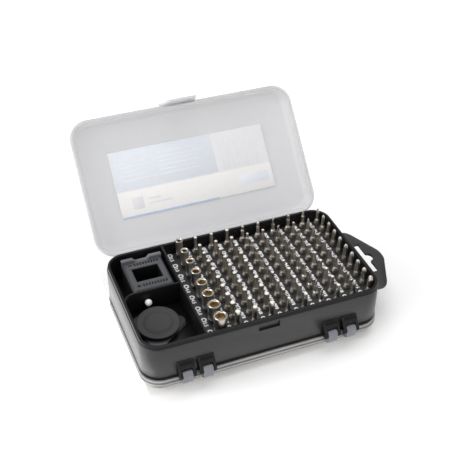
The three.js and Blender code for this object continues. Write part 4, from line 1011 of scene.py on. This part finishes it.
# ---- Eject pin -------------------------------------------------------------------------------
# A steel card-tray pin with a white ball for a head, pushed into its hole at the back of the front bay.
white_gloss, _ = grained("white_gloss", (0.94, 0.94, 0.93), 0.18, 0, (600, 0.00001, 0.14, 0.24))
ball_low, ball_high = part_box("eject_pin_ball")
ball_middle = (np.array(ball_low) + np.array(ball_high)) / 2
ball_radius = (ball_high.z - ball_low.z) / 2
ball_rings = [level_ring(ball_middle[0], ball_middle[1], ball_radius * math.sin(polar), full_turn(40),
                         ball_middle[2] - ball_radius * math.cos(polar))
              for polar in np.linspace(0.12, math.pi - 0.04, 22)]
ball = piece_of("eject_pin_head", [tube_parts(ball_rings)], white_gloss, 60)
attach(ball, "eject_pin")
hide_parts("eject_pin_ball")


# ---- Driver and tools in the lower tray ------------------------------------------------------
# The tools under the floor lie along the case: a driver with a fluted grip and turning cap, a flexible
# shaft, an extension bar, tweezers and three spudgers. The grip, the cap and the shaft's ribbed sheath are
# turned along X from their profiles; the other pieces keep their own shapes and are given their materials.
def turned_x(name, node, body, material, profile, flutes=0, depth=0.0):
    """A turned piece along X: a profile of (distance along, radius, share of the flutes' depth)."""
    low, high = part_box(node)
    y = (low.y + high.y) / 2
    z = (low.z + high.z) / 2
    turn = full_turn(72)
    rings = []
    for along, radius, fluted in profile:
        ripple = radius - depth * fluted * (0.5 - 0.5 * np.cos(flutes * turn))
        rings.append(np.column_stack([np.full(len(turn), low.x + along), y + ripple * np.cos(turn),
                                      z + ripple * np.sin(turn)]))
    piece = piece_of(name, [tube_parts(rings)], material, 40)
    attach(piece, body)
    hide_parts(node)


grip_low, grip_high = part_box("driver_grip")
grip_length = grip_high.x - grip_low.x
grip_profile = [
    (0, 0.0066, 0), (0.0004, 0.0071, 0), (0.0012, 0.0075, 0), (0.0040, 0.0075, 0.2), (0.0060, 0.0075, 1),
    (0.0170, 0.0075, 1), (0.0195, 0.0070, 0.5), (0.0215, 0.0063, 0), (0.0400, 0.0060, 0), (0.0530, 0.0062, 0),
    (0.0570, 0.0068, 0.4), (0.0600, 0.0074, 1), (0.0760, 0.0074, 1), (0.0790, 0.0072, 0.3),
    (grip_length - 0.0012, 0.0066, 0), (grip_length, 0.0058, 0)]
cap_profile = [
    (0, 0.0030, 0), (0.0002, 0.0050, 0), (0.0008, 0.0064, 0), (0.0018, 0.0070, 0.6), (0.0058, 0.0070, 1),
    (0.0067, 0.0068, 0.3), (0.0070, 0.0064, 0), (0.0071, 0.0020, 0), (0.0138, 0.0020, 0), (0.0140, 0.0018, 0)]
sheath_rib, sheath_root, rib_step = 0.00325, 0.0029, 0.0009
sheath_profile = [(0, 0.0028, 0)]
sheath_profile += [(0.0004 + rib_step * i, sheath_rib if i % 2 else sheath_root, 0) for i in range(119)]
sheath_profile += [(0.1077, 0.0028, 0)]
turned_x("driver_grip_fluted", "driver_grip", "case", black_plastic, grip_profile,
         12, 0.0009)
turned_x("driver_cap_domed", "driver_end_cap", "driver_end_cap", black_plastic, cap_profile,
         24, 0.0004)
turned_x("flex_sheath_ribbed", "flex_shaft_sheath", "case", black_plastic, sheath_profile)
for material, nodes in (
        (bright_steel, ("driver_collar", "flex_shaft_drive_end", "flex_shaft_socket_end", "extension_bar",
                        "eject_pin_shank", "tweezers_front_arm", "tweezers_back_arm", "spudger_steel")),
        (magnet_steel, ("driver_magnet", "magnetizer_magnet_front", "magnetizer_magnet_back")),
        (black_plastic, ("spudger_flat", "spudger_pointed"))):
    for node in nodes:
        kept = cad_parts[node]
        kept.data.materials.clear()
        kept.data.materials.append(material)


# ---- Camera, lights and stage ----------------------------------------------------------------
# A white sweep under and behind the set, a soft overhead light, a large window light from the left
# and a low fill from the front. A glowing white card on the bench left of the set brightens that side.
camera_data = bpy.data.cameras.new("camera")
camera_data.lens = 68.36
camera_data.sensor_width = 36
camera_data.clip_end = 20
camera = bpy.data.objects.new("camera", camera_data)
bpy.context.scene.collection.objects.link(camera)
bpy.context.scene.camera = camera
azimuth, elevation, roll = (math.radians(angle) for angle in (-22.107, 38.398, 0.747))
target = np.array((0.021978, 0.062692, 0.0228))
back = np.array((math.sin(azimuth) * math.cos(elevation), -math.cos(azimuth) * math.cos(elevation),
                 math.sin(elevation)))
level = np.cross((0, 0, 1), back)
level /= np.linalg.norm(level)
rise = np.cross(back, level)
right = math.cos(roll) * level + math.sin(roll) * rise
up = np.cross(back, right)
place = np.eye(4)
camera_distance = 0.70608
place[:3, 0], place[:3, 1], place[:3, 2], place[:3, 3] = right, up, back, target + camera_distance * back
camera.matrix_world = Matrix(place.tolist())


def glowing_white(name, glow):
    """Matt white that also gives off a little light of its own."""
    material, shader = grained(name, (0.98, 0.98, 0.98), 0.9, 0, (40, 0.00001, 0.85, 0.95))
    shader.inputs["Emission Color"].default_value = (1, 1, 1, 1)
    shader.inputs["Emission Strength"].default_value = glow
    return material


sweep_turn = np.linspace(0, math.pi / 2, 12)
sweep_y = np.concatenate([[-3.0], 2.0 + 0.8 * np.sin(sweep_turn), [2.8]])
sweep_z = np.concatenate([[0.0], 0.8 - 0.8 * np.cos(sweep_turn), [3.0]])
sweep_points = np.array([(x, y, z - 0.0001) for y, z in zip(sweep_y, sweep_z) for x in (-3, 3)])
sweep_faces = [(2 * i, 2 * i + 1, 2 * i + 3, 2 * i + 2) for i in range(len(sweep_y) - 1)]
sweep = piece_of("studio_sweep", [(sweep_points, sweep_faces)], glowing_white("studio_white", 0.12))


def area_light(name, place, aim, size, power, colour=(1, 1, 1)):
    """A soft rectangular light at a place, turned so that it shines at its aim."""
    data = bpy.data.lights.new(name, "AREA")
    data.shape = "RECTANGLE"
    data.size, data.size_y = size
    data.energy = power
    data.color = colour
    light = bpy.data.objects.new(name, data)
    bpy.context.scene.collection.objects.link(light)
    forward = np.array(place, dtype=float) - np.array(aim, dtype=float)
    forward /= np.linalg.norm(forward)
    side = np.cross((0, 1, 0) if abs(forward[2]) > 0.9 else (0, 0, 1), forward)
    side /= np.linalg.norm(side)
    turn = np.eye(4)
    turn[:3, 0], turn[:3, 1], turn[:3, 2], turn[:3, 3] = side, np.cross(forward, side), forward, place
    light.matrix_world = Matrix(turn.tolist())


area_light("overhead", (0.1, 0.2, 1.3), (0.02, 0.02, 0), (1.2, 1.2), 9)
area_light("left_window", (-1.3, -0.1, 0.55), (0, 0, 0.03), (1.2, 1.0), 14)
bounce = piece_of("bounce_card", [plate(rectangle(-0.6, -0.086, -0.052, 0.45), -0.00005, 0.0003, 0.0001)],
                  glowing_white("bounce_card", 1.25))
area_light("front_fill", (0.4, -1.5, 0.7), (0, 0, 0.03), (1.4, 0.6), 4)
world = bpy.data.worlds.new("studio")
bpy.context.scene.world = world
world.use_nodes = True
world.node_tree.nodes["Background"].inputs["Color"].default_value = (1, 1, 1, 1)
world.node_tree.nodes["Background"].inputs["Strength"].default_value = 0.42
bpy.context.scene.view_settings.view_transform = "Standard"
